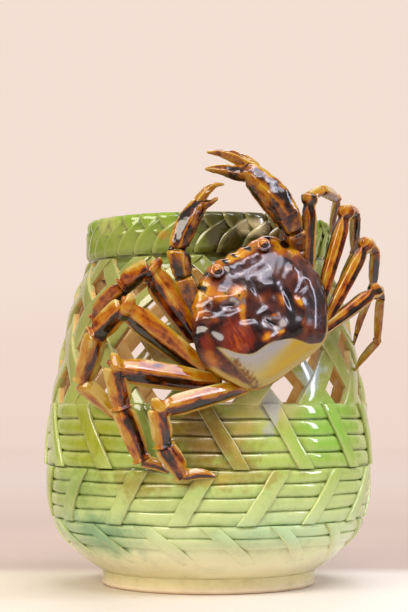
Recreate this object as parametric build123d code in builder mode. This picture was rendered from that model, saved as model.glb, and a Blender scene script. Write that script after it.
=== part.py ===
from build123d import *

import os
from math import atan2, cos, degrees, radians, sin, sqrt

# A glazed stoneware crab, luted to the front of a pot that is pierced and dressed as a woven basket.
# The origin is the centre of the foot's underside. The front of the pot faces -Y, and +Z is up.
# A bearing is an angle round the pot, in degrees: 0 is the front, and 90 is +X.

# The pot
pot_height = 200
belly_radius = 89.7
wall = 5.5
foot_width = 9
foot_height = 8
floor_thickness = 7
rim_thickness = 9.9
rim_round = 3
groove_depth = 1.2
slat_count = 4
bowl_slat_count = 2

# Heights of the pot's zones and of one slat in each, as shares of the pot's height
bowl_height_share = 0.147
bowl_slat_share = 0.0325
lower_slat_share = 0.03575
upper_slat_share = 0.04225
neck_height_share = 0.0325
rim_height_share = 0.1075

# The foot's and the rim's radius, as shares of the belly's
foot_radius_share = 0.6578
rim_radius_share = 0.7681

# The diagonal strips over the slats, and the lattice above them
strip_count = 15
strip_width = 9.6
strip_proud = 1.6
upper_strip_lean = 13
lower_strip_lean = -11
bowl_strip_lean = 9
upper_strip_bearing = 4.5
lower_strip_bearing = -5.5
bowl_strip_bearing = 5
lattice_bearing = 5

# The plait round the rim
leaf_count = 36
upper_leaf_length = 9.5
lower_leaf_length = 13.5
leaf_width = 8.4
leaf_proud = 2.6
leaf_lean = 54

# The crab and its place on the pot: its depth and its eyes are shares of the carapace's width, and
# its height up the pot is a share of the pot's.
carapace_width = 76
body_depth_share = 0.1895
eye_radius_share = 0.041
crab_bearing = 16
crab_height_share = 0.71
crab_turn = 24
tip_seat = 1.2

# One overrun serves every cut that runs past what it cuts.
overrun = 30

# The pot's outside from its foot up: share of the pot's height, share of the belly's radius.
pot_outline_shares = [
    (0.040, 0.660),
    (0.076, 0.776),
    (0.118, 0.867),
    (0.155, 0.928),
    (0.207, 0.969),
    (0.274, 0.993),
    (0.349, 1.000),
    (0.470, 0.982),
    (0.632, 0.918),
    (0.783, 0.841),
    (0.891, 0.746),
]

# The rows of openings in the lattice: height and half height as shares of the lattice's height,
# and the row's place round the pot as a share of the pitch between two openings.
opening_rows_shares = [
    (0.112, 0.194, 0.0),
    (0.397, 0.160, 0.5),
    (0.674, 0.125, 0.0),
    (0.882, 0.101, 0.5),
]
opening_half_width_share = 0.31

# How far the two rows of leaves lie from the rim's top and from its lower edge
upper_row_share = 0.23
lower_row_share = 0.30

# The carapace seen from above, as shares of its width: across to the crab's right, and forward.
carapace_outline_shares = [
    (-0.257, 0.378),
    (-0.150, 0.430),
    (-0.024, 0.447),
    (0.116, 0.458),
    (0.290, 0.472),
    (0.379, 0.411),
    (0.444, 0.323),
    (0.489, 0.212),
    (0.513, 0.093),
    (0.514, -0.022),
    (0.459, -0.167),
    (0.363, -0.330),
    (0.231, -0.389),
    (0.032, -0.430),
    (-0.132, -0.455),
    (-0.300, -0.430),
    (-0.400, -0.329),
    (-0.483, -0.211),
    (-0.520, -0.107),
    (-0.500, 0.033),
    (-0.452, 0.139),
    (-0.366, 0.274),
]

# Sections through the dome and through the underside: height above the margin as a share of the
# carapace's width, size as a share of the outline, and how far the section is moved forward.
dome_shares = [
    (-0.035, 0.955, 0.0),
    (0.000, 1.000, 0.0),
    (0.060, 0.900, 0.0),
    (0.105, 0.700, -0.005),
    (0.130, 0.400, -0.01),
]
underside_shares = [
    (-0.035, 0.930, -0.03),
    (-0.120, 0.920, -0.03),
    (-0.200, 0.840, -0.02),
    (-0.300, 0.600, -0.01),
]
mouthparts_shares = [(-0.045, 0.30, 0.13), (-0.130, 0.24, 0.12), (-0.200, 0.14, 0.09)]
mouthparts_forward_share = 0.345

# Where each leg's joints lie, from its root to the end of its third length: across, forward and
# out from the carapace's margin, as shares of the carapace's width. Then the bearing of its tip,
# the tip's height as a share of the pot's, and 1 where the tip lands on a strip. Then the widths of
# the thigh and the shin as shares of the carapace's width, and their depth as a share of that.
leg_shares = {
    "left_leg_1": (
        [(-0.42, 0.02, -0.16), (-0.552, 0.572, -0.01), (-0.737, 0.54, -0.124), (-0.914, 0.459, -0.381)],
        (-43, 0.642, 0),
        (0.155, 0.090, 0.62),
    ),
    "left_leg_2": (
        [(-0.46, -0.19, -0.18), (-0.818, 0.416, -0.054), (-1.005, 0.343, -0.273), (-1.142, 0.137, -0.60)],
        (-32.6, 0.461, 0),
        (0.165, 0.115, 0.60),
    ),
    "left_leg_3": (
        [(-0.40, -0.31, -0.16), (-1.027, 0.083, -0.168), (-1.063, -0.173, -0.279), (-1.053, -0.531, -0.413)],
        (-13.3, 0.327, 1),
        (0.148, 0.112, 0.62),
    ),
    "left_leg_4": (
        [(-0.24, -0.40, -0.10), (-0.909, -0.291, -0.094), (-0.94, -0.518, -0.215), (-0.87, -0.739, -0.325)],
        (1.8, 0.315, 1),
        (0.124, 0.108, 0.66),
    ),
    "right_leg_1": (
        [(0.46, 0.02, -0.14), (0.695, 0.579, 0.073), (0.834, 0.594, 0.014), (1.069, 0.558, -0.326)],
        (82, 0.965, 0),
        (0.098, 0.072, 0.85),
    ),
    "right_leg_2": (
        [(0.45, -0.13, -0.11), (0.908, 0.394, 0.048), (1.005, 0.366, -0.06), (1.04, 0.158, -0.436)],
        (79, 0.815, 0),
        (0.098, 0.072, 0.85),
    ),
    "right_leg_3": (
        [(0.43, -0.25, -0.115), (0.96, 0.139, -0.017), (1.037, 0.076, -0.122), (1.041, -0.111, -0.408)],
        (79, 0.655, 0),
        (0.098, 0.072, 0.85),
    ),
    "right_leg_4": (
        [(0.36, -0.285, -0.11), (0.891, -0.178, -0.076), (0.947, -0.231, -0.174), (0.883, -0.48, -0.423)],
        (72, 0.588, 0),
        (0.098, 0.072, 0.85),
    ),
}

# How wide a leg's lengths are at their start, middle and end: shares of the thigh's width for the
# first, and of the shin's width for the other three.
leg_taper_shares = {
    "merus": (0.55, 0.90, 1.0),
    "carpus": (0.85, 1.0, 0.9),
    "propodus": (0.9, 0.95, 0.72),
    "dactylus": (0.66, 0.48, 0.16),
}

# Each claw's joints from root to fixed fingertip, with the width there, then the moving finger.
claw_shares = {
    "left_claw": (
        [
            (-0.35, 0.10, -0.15, 0.10),
            (-0.345, 0.40, 0.02, 0.15),
            (-0.333, 0.63, 0.078, 0.13),
            (-0.264, 0.70, 0.097, 0.136),
            (-0.158, 0.757, 0.115, 0.128),
            (-0.075, 0.785, 0.121, 0.10),
            (-0.010, 0.798, 0.125, 0.058),
            (0.054, 0.800, 0.128, 0.016),
        ],
        [
            (-0.085, 0.815, 0.129, 0.072),
            (0.000, 0.872, 0.137, 0.060),
            (0.075, 0.886, 0.139, 0.042),
            (0.147, 0.870, 0.141, 0.016),
        ],
        0.8,
    ),
    "right_claw": (
        [
            (0.34, 0.17, -0.13, 0.11),
            (0.47, 0.31, -0.03, 0.13),
            (0.431, 0.40, 0.10, 0.130),
            (0.425, 0.48, 0.145, 0.170),
            (0.417, 0.565, 0.166, 0.210),
            (0.396, 0.675, 0.170, 0.204),
            (0.345, 0.800, 0.150, 0.165),
            (0.275, 0.872, 0.118, 0.092),
            (0.236, 0.937, 0.097, 0.066),
            (0.174, 0.994, 0.066, 0.047),
            (0.106, 1.040, 0.032, 0.020),
        ],
        [
            (0.350, 0.890, 0.150, 0.100),
            (0.312, 0.991, 0.145, 0.066),
            (0.276, 1.067, 0.126, 0.047),
            (0.223, 1.120, 0.098, 0.039),
            (0.162, 1.150, 0.065, 0.016),
        ],
        0.72,
    ),
}

# The eyes: across, forward and out, as shares of the carapace's width.
eye_shares = {"left_eye": (-0.163, 0.364, 0.075), "right_eye": (0.215, 0.400, 0.090)}

# Sizes worked out from those above
bowl_height = bowl_height_share * pot_height
bowl_slat_height = bowl_slat_share * pot_height
lower_slat_height = lower_slat_share * pot_height
upper_slat_height = upper_slat_share * pot_height
neck_height = neck_height_share * pot_height
rim_height = rim_height_share * pot_height
foot_radius = foot_radius_share * belly_radius
rim_radius = rim_radius_share * belly_radius
mouth_radius = rim_radius - rim_thickness
crab_height = crab_height_share * pot_height
body_depth = body_depth_share * carapace_width
eye_radius = eye_radius_share * carapace_width
bowl_top = foot_height + bowl_height
slats_low = bowl_top - bowl_slat_count * bowl_slat_height
lower_top = bowl_top + slat_count * lower_slat_height
lattice_low = lower_top + slat_count * upper_slat_height
rim_low = pot_height - rim_height
lattice_top = rim_low - neck_height
lattice_height = lattice_top - lattice_low
core_radius = rim_radius - leaf_proud
strip_pitch = 360 / strip_count


def pot_radius(height):
    """The pot's outside radius at a height, on a smooth curve through the outline's points."""
    points = [(up * pot_height, out * belly_radius) for up, out in pot_outline_shares]
    last = len(points) - 1
    spans = [i for i in range(last) if points[i][0] <= height]
    start = spans[-1] if spans else 0
    steps = [
        (points[min(i + 1, last)][1] - points[max(i - 1, 0)][1])
        / (points[min(i + 1, last)][0] - points[max(i - 1, 0)][0])
        for i in (start, start + 1)
    ]
    (low, near), (high, far) = points[start], points[start + 1]
    span = high - low
    t = min(max((height - low) / span, 0), 1)
    along = near * (1 + 2 * t) * (1 - t) ** 2 + far * t * t * (3 - 2 * t)
    lean = span * (steps[0] * t * (1 - t) ** 2 - steps[1] * t * t * (1 - t))
    return along + lean


def spread(low, high, count):
    """Evenly spaced heights from low to high."""
    return [low + (high - low) * i / (count - 1) for i in range(count)]


def pot_plane(bearing, height, radius):
    """A plane that faces out from the pot, with its x to the right and its y up."""
    turn = radians(bearing)
    outward = Vector(sin(turn), -cos(turn), 0)
    return Plane(
        origin=outward * radius + Vector(0, 0, height),
        x_dir=Vector(cos(turn), sin(turn), 0),
        z_dir=outward,
    )


def turned_ring(heights, out_by, in_by):
    """A ring turned about the pot's axis, between two offsets from the pot's outside."""
    low, high = heights[0], heights[-1]
    with BuildPart() as ring:
        with BuildSketch(Plane.XZ):
            with BuildLine():
                Spline([(pot_radius(height) + out_by, height) for height in heights])
                Spline([(pot_radius(height) - in_by, height) for height in heights])
                for height in (low, high):
                    Line(
                        (pot_radius(height) - in_by, height),
                        (pot_radius(height) + out_by, height),
                    )
            make_face()
        revolve(axis=Axis.Z)
    return ring.part


def hoop_arcs(edges):
    """The rounded outsides of a stack of slats, in the profile that is being drawn."""
    for low, high in zip(edges, edges[1:]):
        middle = (low + high) / 2
        ThreePointArc(
            (pot_radius(low) - groove_depth, low),
            (pot_radius(middle), middle),
            (pot_radius(high) - groove_depth, high),
        )


def slatted_band(label, low, slat_height):
    """A band of wall whose outside is a stack of slats."""
    edges = [low + slat_height * i for i in range(slat_count + 1)]
    with BuildPart() as band:
        with BuildSketch(Plane.XZ):
            with BuildLine():
                hoop_arcs(edges)
                Spline([(pot_radius(edge) - wall, edge) for edge in edges])
                for edge in (edges[0], edges[-1]):
                    Line((pot_radius(edge) - wall, edge), (pot_radius(edge) - groove_depth, edge))
            make_face()
        revolve(axis=Axis.Z)
    band.part.label = label
    return band.part


def diagonal_strip(low, high, bearing, lean, seat):
    """One strip laid slantwise over the slats between two heights, and seated on them."""
    middle = (low + high) / 2
    radius = pot_radius(middle)
    half_height = (high - low) / 2
    half_width = strip_width / 2
    shift = radius * sin(radians(lean / 2))
    envelope = turned_ring(spread(low, high, slat_count), strip_proud, groove_depth + wall / 2)
    with BuildPart() as strip:
        with BuildSketch(pot_plane(bearing, middle, radius)):
            with BuildLine():
                Polyline(
                    (shift - half_width, -half_height),
                    (shift + half_width, -half_height),
                    (half_width - shift, half_height),
                    (-half_width - shift, half_height),
                    close=True,
                )
            make_face()
        extrude(amount=overrun, both=True)
        add(envelope, mode=Mode.INTERSECT)
        add(seat, mode=Mode.SUBTRACT)
    return strip.part


def around_pot(label, piece, count):
    """Copies of one piece, evenly spaced round the pot."""
    with BuildPart() as group:
        with PolarLocations(0, count):
            add(piece)
    group.part.label = label
    return group.part


def foot_ring():
    """The turned foot that the pot stands on."""
    with BuildPart() as foot:
        with BuildSketch(Plane.XZ):
            with BuildLine():
                Polyline(
                    (foot_radius - foot_width, 0),
                    (foot_radius, 0),
                    (pot_radius(foot_height), foot_height),
                    (foot_radius - foot_width, foot_height),
                    close=True,
                )
            make_face()
        revolve(axis=Axis.Z)
        fillet(foot.edges().group_by(Axis.Z)[0].sort_by(SortBy.LENGTH)[-1], groove_depth)
    foot.part.label = "foot_ring"
    return foot.part


def bowl():
    """The pot's floor and the lowest of its wall, with two faint slats near its top."""
    edges = [slats_low + bowl_slat_height * i for i in range(bowl_slat_count + 1)]
    floor_top = foot_height + floor_thickness
    below = spread(foot_height, slats_low, slat_count)
    inside = spread(floor_top, bowl_top, slat_count)
    with BuildPart() as body:
        with BuildSketch(Plane.XZ):
            with BuildLine():
                Line((0, foot_height), (pot_radius(foot_height), foot_height))
                Spline(
                    [(pot_radius(height), height) for height in below[:-1]]
                    + [(pot_radius(slats_low) - groove_depth, slats_low)]
                )
                hoop_arcs(edges)
                Line(
                    (pot_radius(bowl_top) - groove_depth, bowl_top),
                    (pot_radius(bowl_top) - wall, bowl_top),
                )
                Spline([(pot_radius(height) - wall, height) for height in inside])
                Line((pot_radius(floor_top) - wall, floor_top), (0, floor_top))
                Line((0, floor_top), (0, foot_height))
            make_face()
        revolve(axis=Axis.Z)
    body.part.label = "bowl"
    return body.part


def lattice():
    """The pierced wall: rows of diamond openings, each row set between those of the next."""
    ring = turned_ring(spread(lattice_low, lattice_top, slat_count + 1), 0, wall)
    with BuildPart() as pierced:
        add(ring)
        for up_share, half_share, turn_share in opening_rows_shares:
            height = lattice_low + up_share * lattice_height
            bearing = lattice_bearing + turn_share * strip_pitch
            radius = pot_radius(height)
            half_width = radius * sin(radians(opening_half_width_share * strip_pitch))
            half_height = half_share * lattice_height
            with BuildPart(mode=Mode.PRIVATE) as opening:
                with BuildSketch(pot_plane(bearing, height, radius + wall)):
                    with BuildLine():
                        Polyline(
                            (half_width, 0),
                            (0, half_height),
                            (-half_width, 0),
                            (0, -half_height),
                            close=True,
                        )
                    make_face()
                extrude(amount=-overrun)
            with PolarLocations(0, strip_count):
                add(opening.part, mode=Mode.SUBTRACT)
    pierced.part.label = "lattice_wall"
    return pierced.part


def neck():
    """The narrow ring between the lattice and the rim."""
    with BuildPart() as ring:
        with BuildSketch(Plane.XZ):
            with BuildLine():
                Polyline(
                    (pot_radius(lattice_top) - wall, lattice_top),
                    (pot_radius(lattice_top), lattice_top),
                    (core_radius, rim_low),
                    (mouth_radius, rim_low),
                    close=True,
                )
            make_face()
        revolve(axis=Axis.Z)
    ring.part.label = "neck_ring"
    return ring.part


def rim_core():
    """The thick rim under the plait, rounded along its top."""
    with BuildPart() as rim:
        with BuildSketch(Plane.XZ):
            with BuildLine():
                Polyline(
                    (mouth_radius, rim_low),
                    (core_radius, rim_low),
                    (core_radius, pot_height),
                    (mouth_radius, pot_height),
                    close=True,
                )
            make_face()
        revolve(axis=Axis.Z)
        fillet(rim.edges().group_by(Axis.Z)[-1], rim_round)
    rim.part.label = "rim_core"
    return rim.part


def rim_leaf(bearing, height, length, lean, seat):
    """One low leaf of the plait, leaning to one side and seated on the rim."""
    sunk = leaf_proud / 3
    with BuildPart() as leaf:
        with BuildSketch(pot_plane(bearing, height, core_radius - sunk)):
            Ellipse(length / 2, leaf_width / 2, rotation=lean)
        with BuildSketch(pot_plane(bearing, height, core_radius + leaf_proud)):
            Ellipse(length / 3, leaf_width / 4, rotation=lean)
        loft(ruled=True)
        add(seat, mode=Mode.SUBTRACT)
    return leaf.part


# The crab's own frame lies on the wall where the crab sits: x across, y forward and z out.
slope_step = wall
crab_tilt = degrees(
    atan2(
        pot_radius(crab_height - slope_step) - pot_radius(crab_height + slope_step),
        2 * slope_step,
    )
)


def crab_frame():
    """The plane of the carapace's margin."""
    bearing, tilt, turn = radians(crab_bearing), radians(crab_tilt), radians(crab_turn)
    outward = Vector(sin(bearing) * cos(tilt), -cos(bearing) * cos(tilt), sin(tilt))
    uphill = Vector(-sin(bearing) * sin(tilt), cos(bearing) * sin(tilt), cos(tilt))
    level = Vector(cos(bearing), sin(bearing), 0)
    seat = pot_plane(crab_bearing, crab_height, pot_radius(crab_height)).origin
    return Plane(
        origin=seat + outward * body_depth,
        x_dir=level * cos(turn) + uphill * sin(turn),
        z_dir=outward,
    )


crab_plane = crab_frame()


def crab_point(across_share, forward_share, out_share):
    """A place on the crab, from its shares of the carapace's width."""
    return crab_plane.from_local_coords(
        Vector(
            across_share * carapace_width,
            forward_share * carapace_width,
            out_share * carapace_width,
        )
    )


def body_shell(label, sections, cuts):
    """A smooth solid through sections that all have the carapace's outline."""
    with BuildPart() as shell:
        for out_share, size_share, forward_share in sections:
            with BuildSketch(crab_plane.offset(out_share * carapace_width)):
                with BuildLine():
                    Spline(
                        [
                            (
                                across * size_share * carapace_width,
                                (forward * size_share + forward_share) * carapace_width,
                            )
                            for across, forward in carapace_outline_shares
                        ],
                        periodic=True,
                    )
                make_face()
        loft()
        for neighbour in cuts:
            add(neighbour, mode=Mode.SUBTRACT)
    shell.part.label = label
    return shell.part


def mouthparts(cuts):
    """The closed mouthparts, under the front of the carapace."""
    middle = mouthparts_forward_share * carapace_width
    with BuildPart() as mouth:
        for out_share, width_share, length_share in mouthparts_shares:
            with BuildSketch(crab_plane.offset(out_share * carapace_width)):
                with Locations((0, middle)):
                    Ellipse(width_share * carapace_width / 2, length_share * carapace_width / 2)
        loft()
        for neighbour in cuts:
            add(neighbour, mode=Mode.SUBTRACT)
    mouth.part.label = "mouthparts"
    return mouth.part


def eye(label, shares, seat):
    """A round eye on a short stalk that stands in its socket."""
    centre = crab_point(*shares)
    stalk = crab_plane.z_dir + crab_plane.y_dir
    stalk_radius = eye_radius * 0.8
    base = Plane(origin=centre - stalk.normalized() * eye_radius * 2, z_dir=stalk)
    with BuildPart() as ball:
        with BuildSketch(base):
            Circle(stalk_radius)
        extrude(amount=eye_radius * 2)
        with Locations(base.offset(eye_radius * 2)):
            Sphere(eye_radius)
        add(seat, mode=Mode.SUBTRACT)
    ball.part.label = label
    return ball.part


def limb_frames(points):
    """The way each joint's cut faces, how much wider its slant makes it, and the way the limb bends."""
    runs = [(end - start).normalized() for start, end in zip(points, points[1:])]
    bend = Vector(0, 0, 0)
    for before, after in zip(runs, runs[1:]):
        bend = bend + before.cross(after)
    facings = [runs[0]]
    facings += [(before + after).normalized() for before, after in zip(runs, runs[1:])]
    facings.append(runs[-1])
    widenings = [1 / sqrt(facing.dot(run)) for facing, run in zip(facings, runs)] + [1]
    return facings, widenings, bend.normalized()


def lofted(label, stations, bend, depth_share, cuts):
    """A length of limb, lofted through ovals and cut back to what it meets."""
    with BuildPart() as length:
        for centre, facing, width, widening in stations:
            with BuildSketch(Plane(origin=centre, x_dir=bend.cross(facing), z_dir=facing)):
                Ellipse(width * widening / 2, width * depth_share / 2)
        loft()
        for neighbour in cuts:
            add(neighbour, mode=Mode.SUBTRACT)
    length.part.label = label
    return length.part


def leg(name, joints, tip, widths, body, ground):
    """A leg of four lengths. Neighbours share the slanted cut at their joint, and the tip is on the pot."""
    tip_bearing, tip_share, on_strip = tip
    thigh_share, shin_share, depth_share = widths
    tip_height = tip_share * pot_height
    tip_radius = rim_radius if tip_height > rim_low else pot_radius(tip_height)
    landing = pot_plane(tip_bearing, tip_height, tip_radius + on_strip * strip_proud).origin
    points = [crab_point(*joint) for joint in joints] + [landing]
    points[-1] = landing + (landing - points[-2]).normalized() * tip_seat
    facings, widenings, bend = limb_frames(points)
    made = []
    for index, (length, tapers) in enumerate(leg_taper_shares.items()):
        base_width = (shin_share if index else thigh_share) * carapace_width
        start, end = points[index], points[index + 1]
        stations = [
            (start, facings[index], tapers[0] * base_width, widenings[index]),
            ((start + end) / 2, (end - start).normalized(), tapers[1] * base_width, 1),
            (end, facings[index + 1], tapers[2] * base_width, widenings[index + 1]),
        ]
        cuts = body if index == 0 else ground if length == "dactylus" else []
        made.append(lofted(f"{name}_{length}", stations, bend, depth_share, cuts))
    return made


def claw(name, arm, finger, depth_share, body):
    """A claw: two lengths of arm, a palm that runs into the fixed finger, and the moving finger."""
    points = [crab_point(*joint[:3]) for joint in arm]
    widths = [joint[3] * carapace_width for joint in arm]
    facings, widenings, bend = limb_frames(points)
    stations = list(zip(points, facings, widths, widenings))
    made = [
        lofted(f"{name}_merus", stations[:2], bend, depth_share, body),
        lofted(f"{name}_carpus", stations[1:3], bend, depth_share, body),
        lofted(f"{name}_palm", stations[2:], bend, depth_share, []),
    ]
    points = [crab_point(*joint[:3]) for joint in finger]
    widths = [joint[3] * carapace_width for joint in finger]
    facings, widenings, bend = limb_frames(points)
    stations = list(zip(points, facings, widths, widenings))
    made.append(lofted(f"{name}_finger", stations, bend, depth_share, [made[-1]]))
    return made


# The pot
foot_part = foot_ring()
bowl_part = bowl()
lower_band = slatted_band("lower_band", bowl_top, lower_slat_height)
upper_band = slatted_band("upper_band", lower_top, upper_slat_height)
lattice_part = lattice()
neck_part = neck()
rim_part = rim_core()
bowl_strip = diagonal_strip(slats_low, bowl_top, bowl_strip_bearing, bowl_strip_lean, bowl_part)
lower_strip = diagonal_strip(bowl_top, lower_top, lower_strip_bearing, lower_strip_lean, lower_band)
upper_strip = diagonal_strip(lower_top, lattice_low, upper_strip_bearing, upper_strip_lean, upper_band)
bowl_strips = around_pot("bowl_strips", bowl_strip, strip_count)
lower_strips = around_pot("lower_strips", lower_strip, strip_count)
upper_strips = around_pot("upper_strips", upper_strip, strip_count)
upper_row = pot_height - rim_height * upper_row_share
lower_row = rim_low + rim_height * lower_row_share
upper_leaf = rim_leaf(180 / leaf_count, upper_row, upper_leaf_length, -leaf_lean, rim_part)
lower_leaf = rim_leaf(0, lower_row, lower_leaf_length, leaf_lean, rim_part)
upper_leaves = around_pot("rim_upper_leaves", upper_leaf, leaf_count)
lower_leaves = around_pot("rim_lower_leaves", lower_leaf, leaf_count)

# The crab's body is cut to the whole outside of the wall, so it spans the openings under it.
wall_outside = turned_ring(spread(lattice_low, lattice_top, slat_count + 1), 0, overrun)
carapace = body_shell("carapace", dome_shares, [])
underside = body_shell("underside", underside_shares, [wall_outside, neck_part, rim_part])
mouth = mouthparts([underside, wall_outside])
body = [carapace, underside, mouth]
eyes = [eye(label, shares, carapace) for label, shares in eye_shares.items()]

# The limbs
ground = [wall_outside, lower_band, upper_band, lower_strips, upper_strips, rim_part, upper_leaves]
claws = []
for claw_name, (claw_arm, claw_finger, claw_depth_share) in claw_shares.items():
    claws += claw(claw_name, claw_arm, claw_finger, claw_depth_share, body)
legs = []
for leg_name, (leg_joints, leg_tip, leg_widths) in leg_shares.items():
    roots = body + claws[:2] + claws[4:6] + legs[::4]
    legs += leg(leg_name, leg_joints, leg_tip, leg_widths, roots, ground)

os.makedirs("parts", exist_ok=True)
pot = [
    foot_part,
    bowl_part,
    lower_band,
    upper_band,
    lattice_part,
    neck_part,
    rim_part,
    bowl_strips,
    lower_strips,
    upper_strips,
    upper_leaves,
    lower_leaves,
]
for piece in pot + body + eyes + legs + claws:
    export_step(piece, f"parts/{piece.label}.step")
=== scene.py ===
import random
from math import atan2, cos, pi, radians, sin

import bmesh
import bpy
import numpy as np
from mathutils import Matrix, Vector


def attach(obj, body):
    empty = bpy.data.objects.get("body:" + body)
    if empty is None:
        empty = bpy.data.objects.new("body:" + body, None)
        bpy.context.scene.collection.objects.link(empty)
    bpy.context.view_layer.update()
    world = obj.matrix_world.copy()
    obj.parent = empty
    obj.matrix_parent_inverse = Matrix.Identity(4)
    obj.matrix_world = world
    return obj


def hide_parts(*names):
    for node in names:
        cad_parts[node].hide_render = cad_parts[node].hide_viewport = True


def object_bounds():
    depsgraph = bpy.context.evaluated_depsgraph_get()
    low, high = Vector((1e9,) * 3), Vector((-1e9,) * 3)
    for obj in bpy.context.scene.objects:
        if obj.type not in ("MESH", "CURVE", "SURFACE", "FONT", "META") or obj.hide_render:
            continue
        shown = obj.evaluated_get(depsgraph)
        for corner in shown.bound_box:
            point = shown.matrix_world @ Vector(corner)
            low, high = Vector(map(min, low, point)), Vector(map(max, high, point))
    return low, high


# A glazed stoneware crab on a basket-weave pot. Lengths in the tables are in millimetres or are
# shares of the piece that carries them; everything in Blender is in metres.
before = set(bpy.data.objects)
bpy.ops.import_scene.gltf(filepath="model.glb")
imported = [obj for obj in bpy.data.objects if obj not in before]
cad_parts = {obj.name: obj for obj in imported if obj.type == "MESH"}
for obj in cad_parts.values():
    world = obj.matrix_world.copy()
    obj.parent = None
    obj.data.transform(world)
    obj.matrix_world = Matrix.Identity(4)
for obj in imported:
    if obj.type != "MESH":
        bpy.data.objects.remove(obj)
cad_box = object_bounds()
mm = 0.001
chance = random.Random(7)

# Sizes shared with the solids.
pot_height = 200
belly_radius = 89.7
wall = 5.5
foot_radius = 59.0
foot_width = 9
foot_height = 8
floor_top = 15
bowl_top = 37.4
bowl_slat_height = 6.5
lower_slat_height = 7.15
upper_slat_height = 8.45
slats_low = bowl_top - 2 * bowl_slat_height
lower_top = bowl_top + 4 * lower_slat_height
lattice_low = lower_top + 4 * upper_slat_height
lattice_top = 172
rim_low = 178.5
rim_radius = 68.9
core_radius = 66.3
mouth_radius = 59
groove_depth = 1.2
strip_count = 15
strip_pitch = 360 / strip_count
strip_width = 9.6
strip_proud = 1.6
leaf_count = 36
carapace_width = 76
body_depth = 14.4
crab_bearing = 16
crab_height = 142
crab_turn = 24

# How finely the pieces are modelled.
wheel_steps = 288
strip_corners = 4
strip_rings = 9
strut_rings = 4
limb_corners = 8
shell_around = 240
shell_rows = 64

pot_outline_shares = [
    (0.04, 0.66), (0.076, 0.776), (0.118, 0.867), (0.155, 0.928), (0.207, 0.969), (0.274, 0.993),
    (0.349, 1.0), (0.47, 0.982), (0.632, 0.918), (0.783, 0.841), (0.891, 0.746),
]

carapace_outline_shares = [
    (-0.257, 0.378), (-0.15, 0.43), (-0.024, 0.447), (0.116, 0.458), (0.29, 0.472), (0.379, 0.411),
    (0.444, 0.323), (0.489, 0.212), (0.513, 0.093), (0.514, -0.022), (0.459, -0.167),
    (0.363, -0.33), (0.231, -0.389), (0.032, -0.43), (-0.132, -0.455), (-0.3, -0.43),
    (-0.4, -0.329), (-0.483, -0.211), (-0.52, -0.107), (-0.5, 0.033), (-0.452, 0.139),
    (-0.366, 0.274),
]

# Each leg's joints as shares of the carapace's width; its tip's bearing, its height as a share of
# the pot's and 1 where it lands on a strip; its four widths and its depth share; and how thin the
# glaze lies on each length: below zero dark, above zero amber and straw.
legs = {
    "left_leg_1": (
        [
            (-0.42, 0.02, -0.16), (-0.552, 0.572, -0.01), (-0.737, 0.54, -0.124),
            (-0.914, 0.459, -0.381),
        ],
        (-43, 0.642, 0),
        (0.168, 0.146, 0.132, 0.095, 0.56),
        (0.02, -0.1, -0.14, -0.04),
    ),
    "left_leg_2": (
        [
            (-0.46, -0.19, -0.18), (-0.818, 0.416, -0.054), (-1.005, 0.343, -0.273),
            (-1.142, 0.137, -0.6),
        ],
        (-32.6, 0.461, 0),
        (0.186, 0.138, 0.136, 0.168, 0.52),
        (-0.04, 0.0, 0.28, 0.4),
    ),
    "left_leg_3": (
        [
            (-0.4, -0.31, -0.16), (-1.027, 0.083, -0.168), (-1.063, -0.173, -0.279),
            (-1.053, -0.531, -0.413),
        ],
        (-13.3, 0.327, 1),
        (0.166, 0.128, 0.126, 0.096, 0.56),
        (0.06, 0.02, 0.04, 0.12),
    ),
    "left_leg_4": (
        [
            (-0.24, -0.4, -0.1), (-0.909, -0.291, -0.094), (-0.94, -0.518, -0.215),
            (-0.87, -0.739, -0.325),
        ],
        (1.8, 0.315, 1),
        (0.14, 0.12, 0.12, 0.09, 0.6),
        (0.1, 0.04, 0.08, 0.14),
    ),
    "right_leg_1": (
        [
            (0.46, 0.02, -0.14), (0.695, 0.579, 0.073), (0.834, 0.594, 0.014),
            (1.069, 0.558, -0.326),
        ],
        (82, 0.965, 0),
        (0.11, 0.076, 0.074, 0.07, 0.78),
        (-0.06, 0.1, 0.3, 0.22),
    ),
    "right_leg_2": (
        [
            (0.45, -0.13, -0.11), (0.908, 0.394, 0.048), (1.005, 0.366, -0.06),
            (1.04, 0.158, -0.436),
        ],
        (79, 0.815, 0),
        (0.11, 0.076, 0.074, 0.07, 0.78),
        (0.02, -0.06, 0.02, 0.02),
    ),
    "right_leg_3": (
        [
            (0.43, -0.25, -0.115), (0.96, 0.139, -0.017), (1.037, 0.076, -0.122),
            (1.041, -0.111, -0.408),
        ],
        (79, 0.655, 0),
        (0.11, 0.076, 0.074, 0.07, 0.78),
        (0.02, 0.02, 0.06, 0.12),
    ),
    "right_leg_4": (
        [
            (0.36, -0.285, -0.11), (0.891, -0.178, -0.076), (0.947, -0.231, -0.174),
            (0.883, -0.48, -0.423),
        ],
        (72, 0.588, 0),
        (0.11, 0.076, 0.074, 0.07, 0.78),
        (0.04, 0.02, 0.02, 0.14),
    ),
}

# How far each length of a leg arches away from the pot.
usual_arches = (0.0, 0.6, 0.4, 1.6)
leg_arches = {"left_leg_1": (0.0, 2.2, 2.2, 1.6)}

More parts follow.
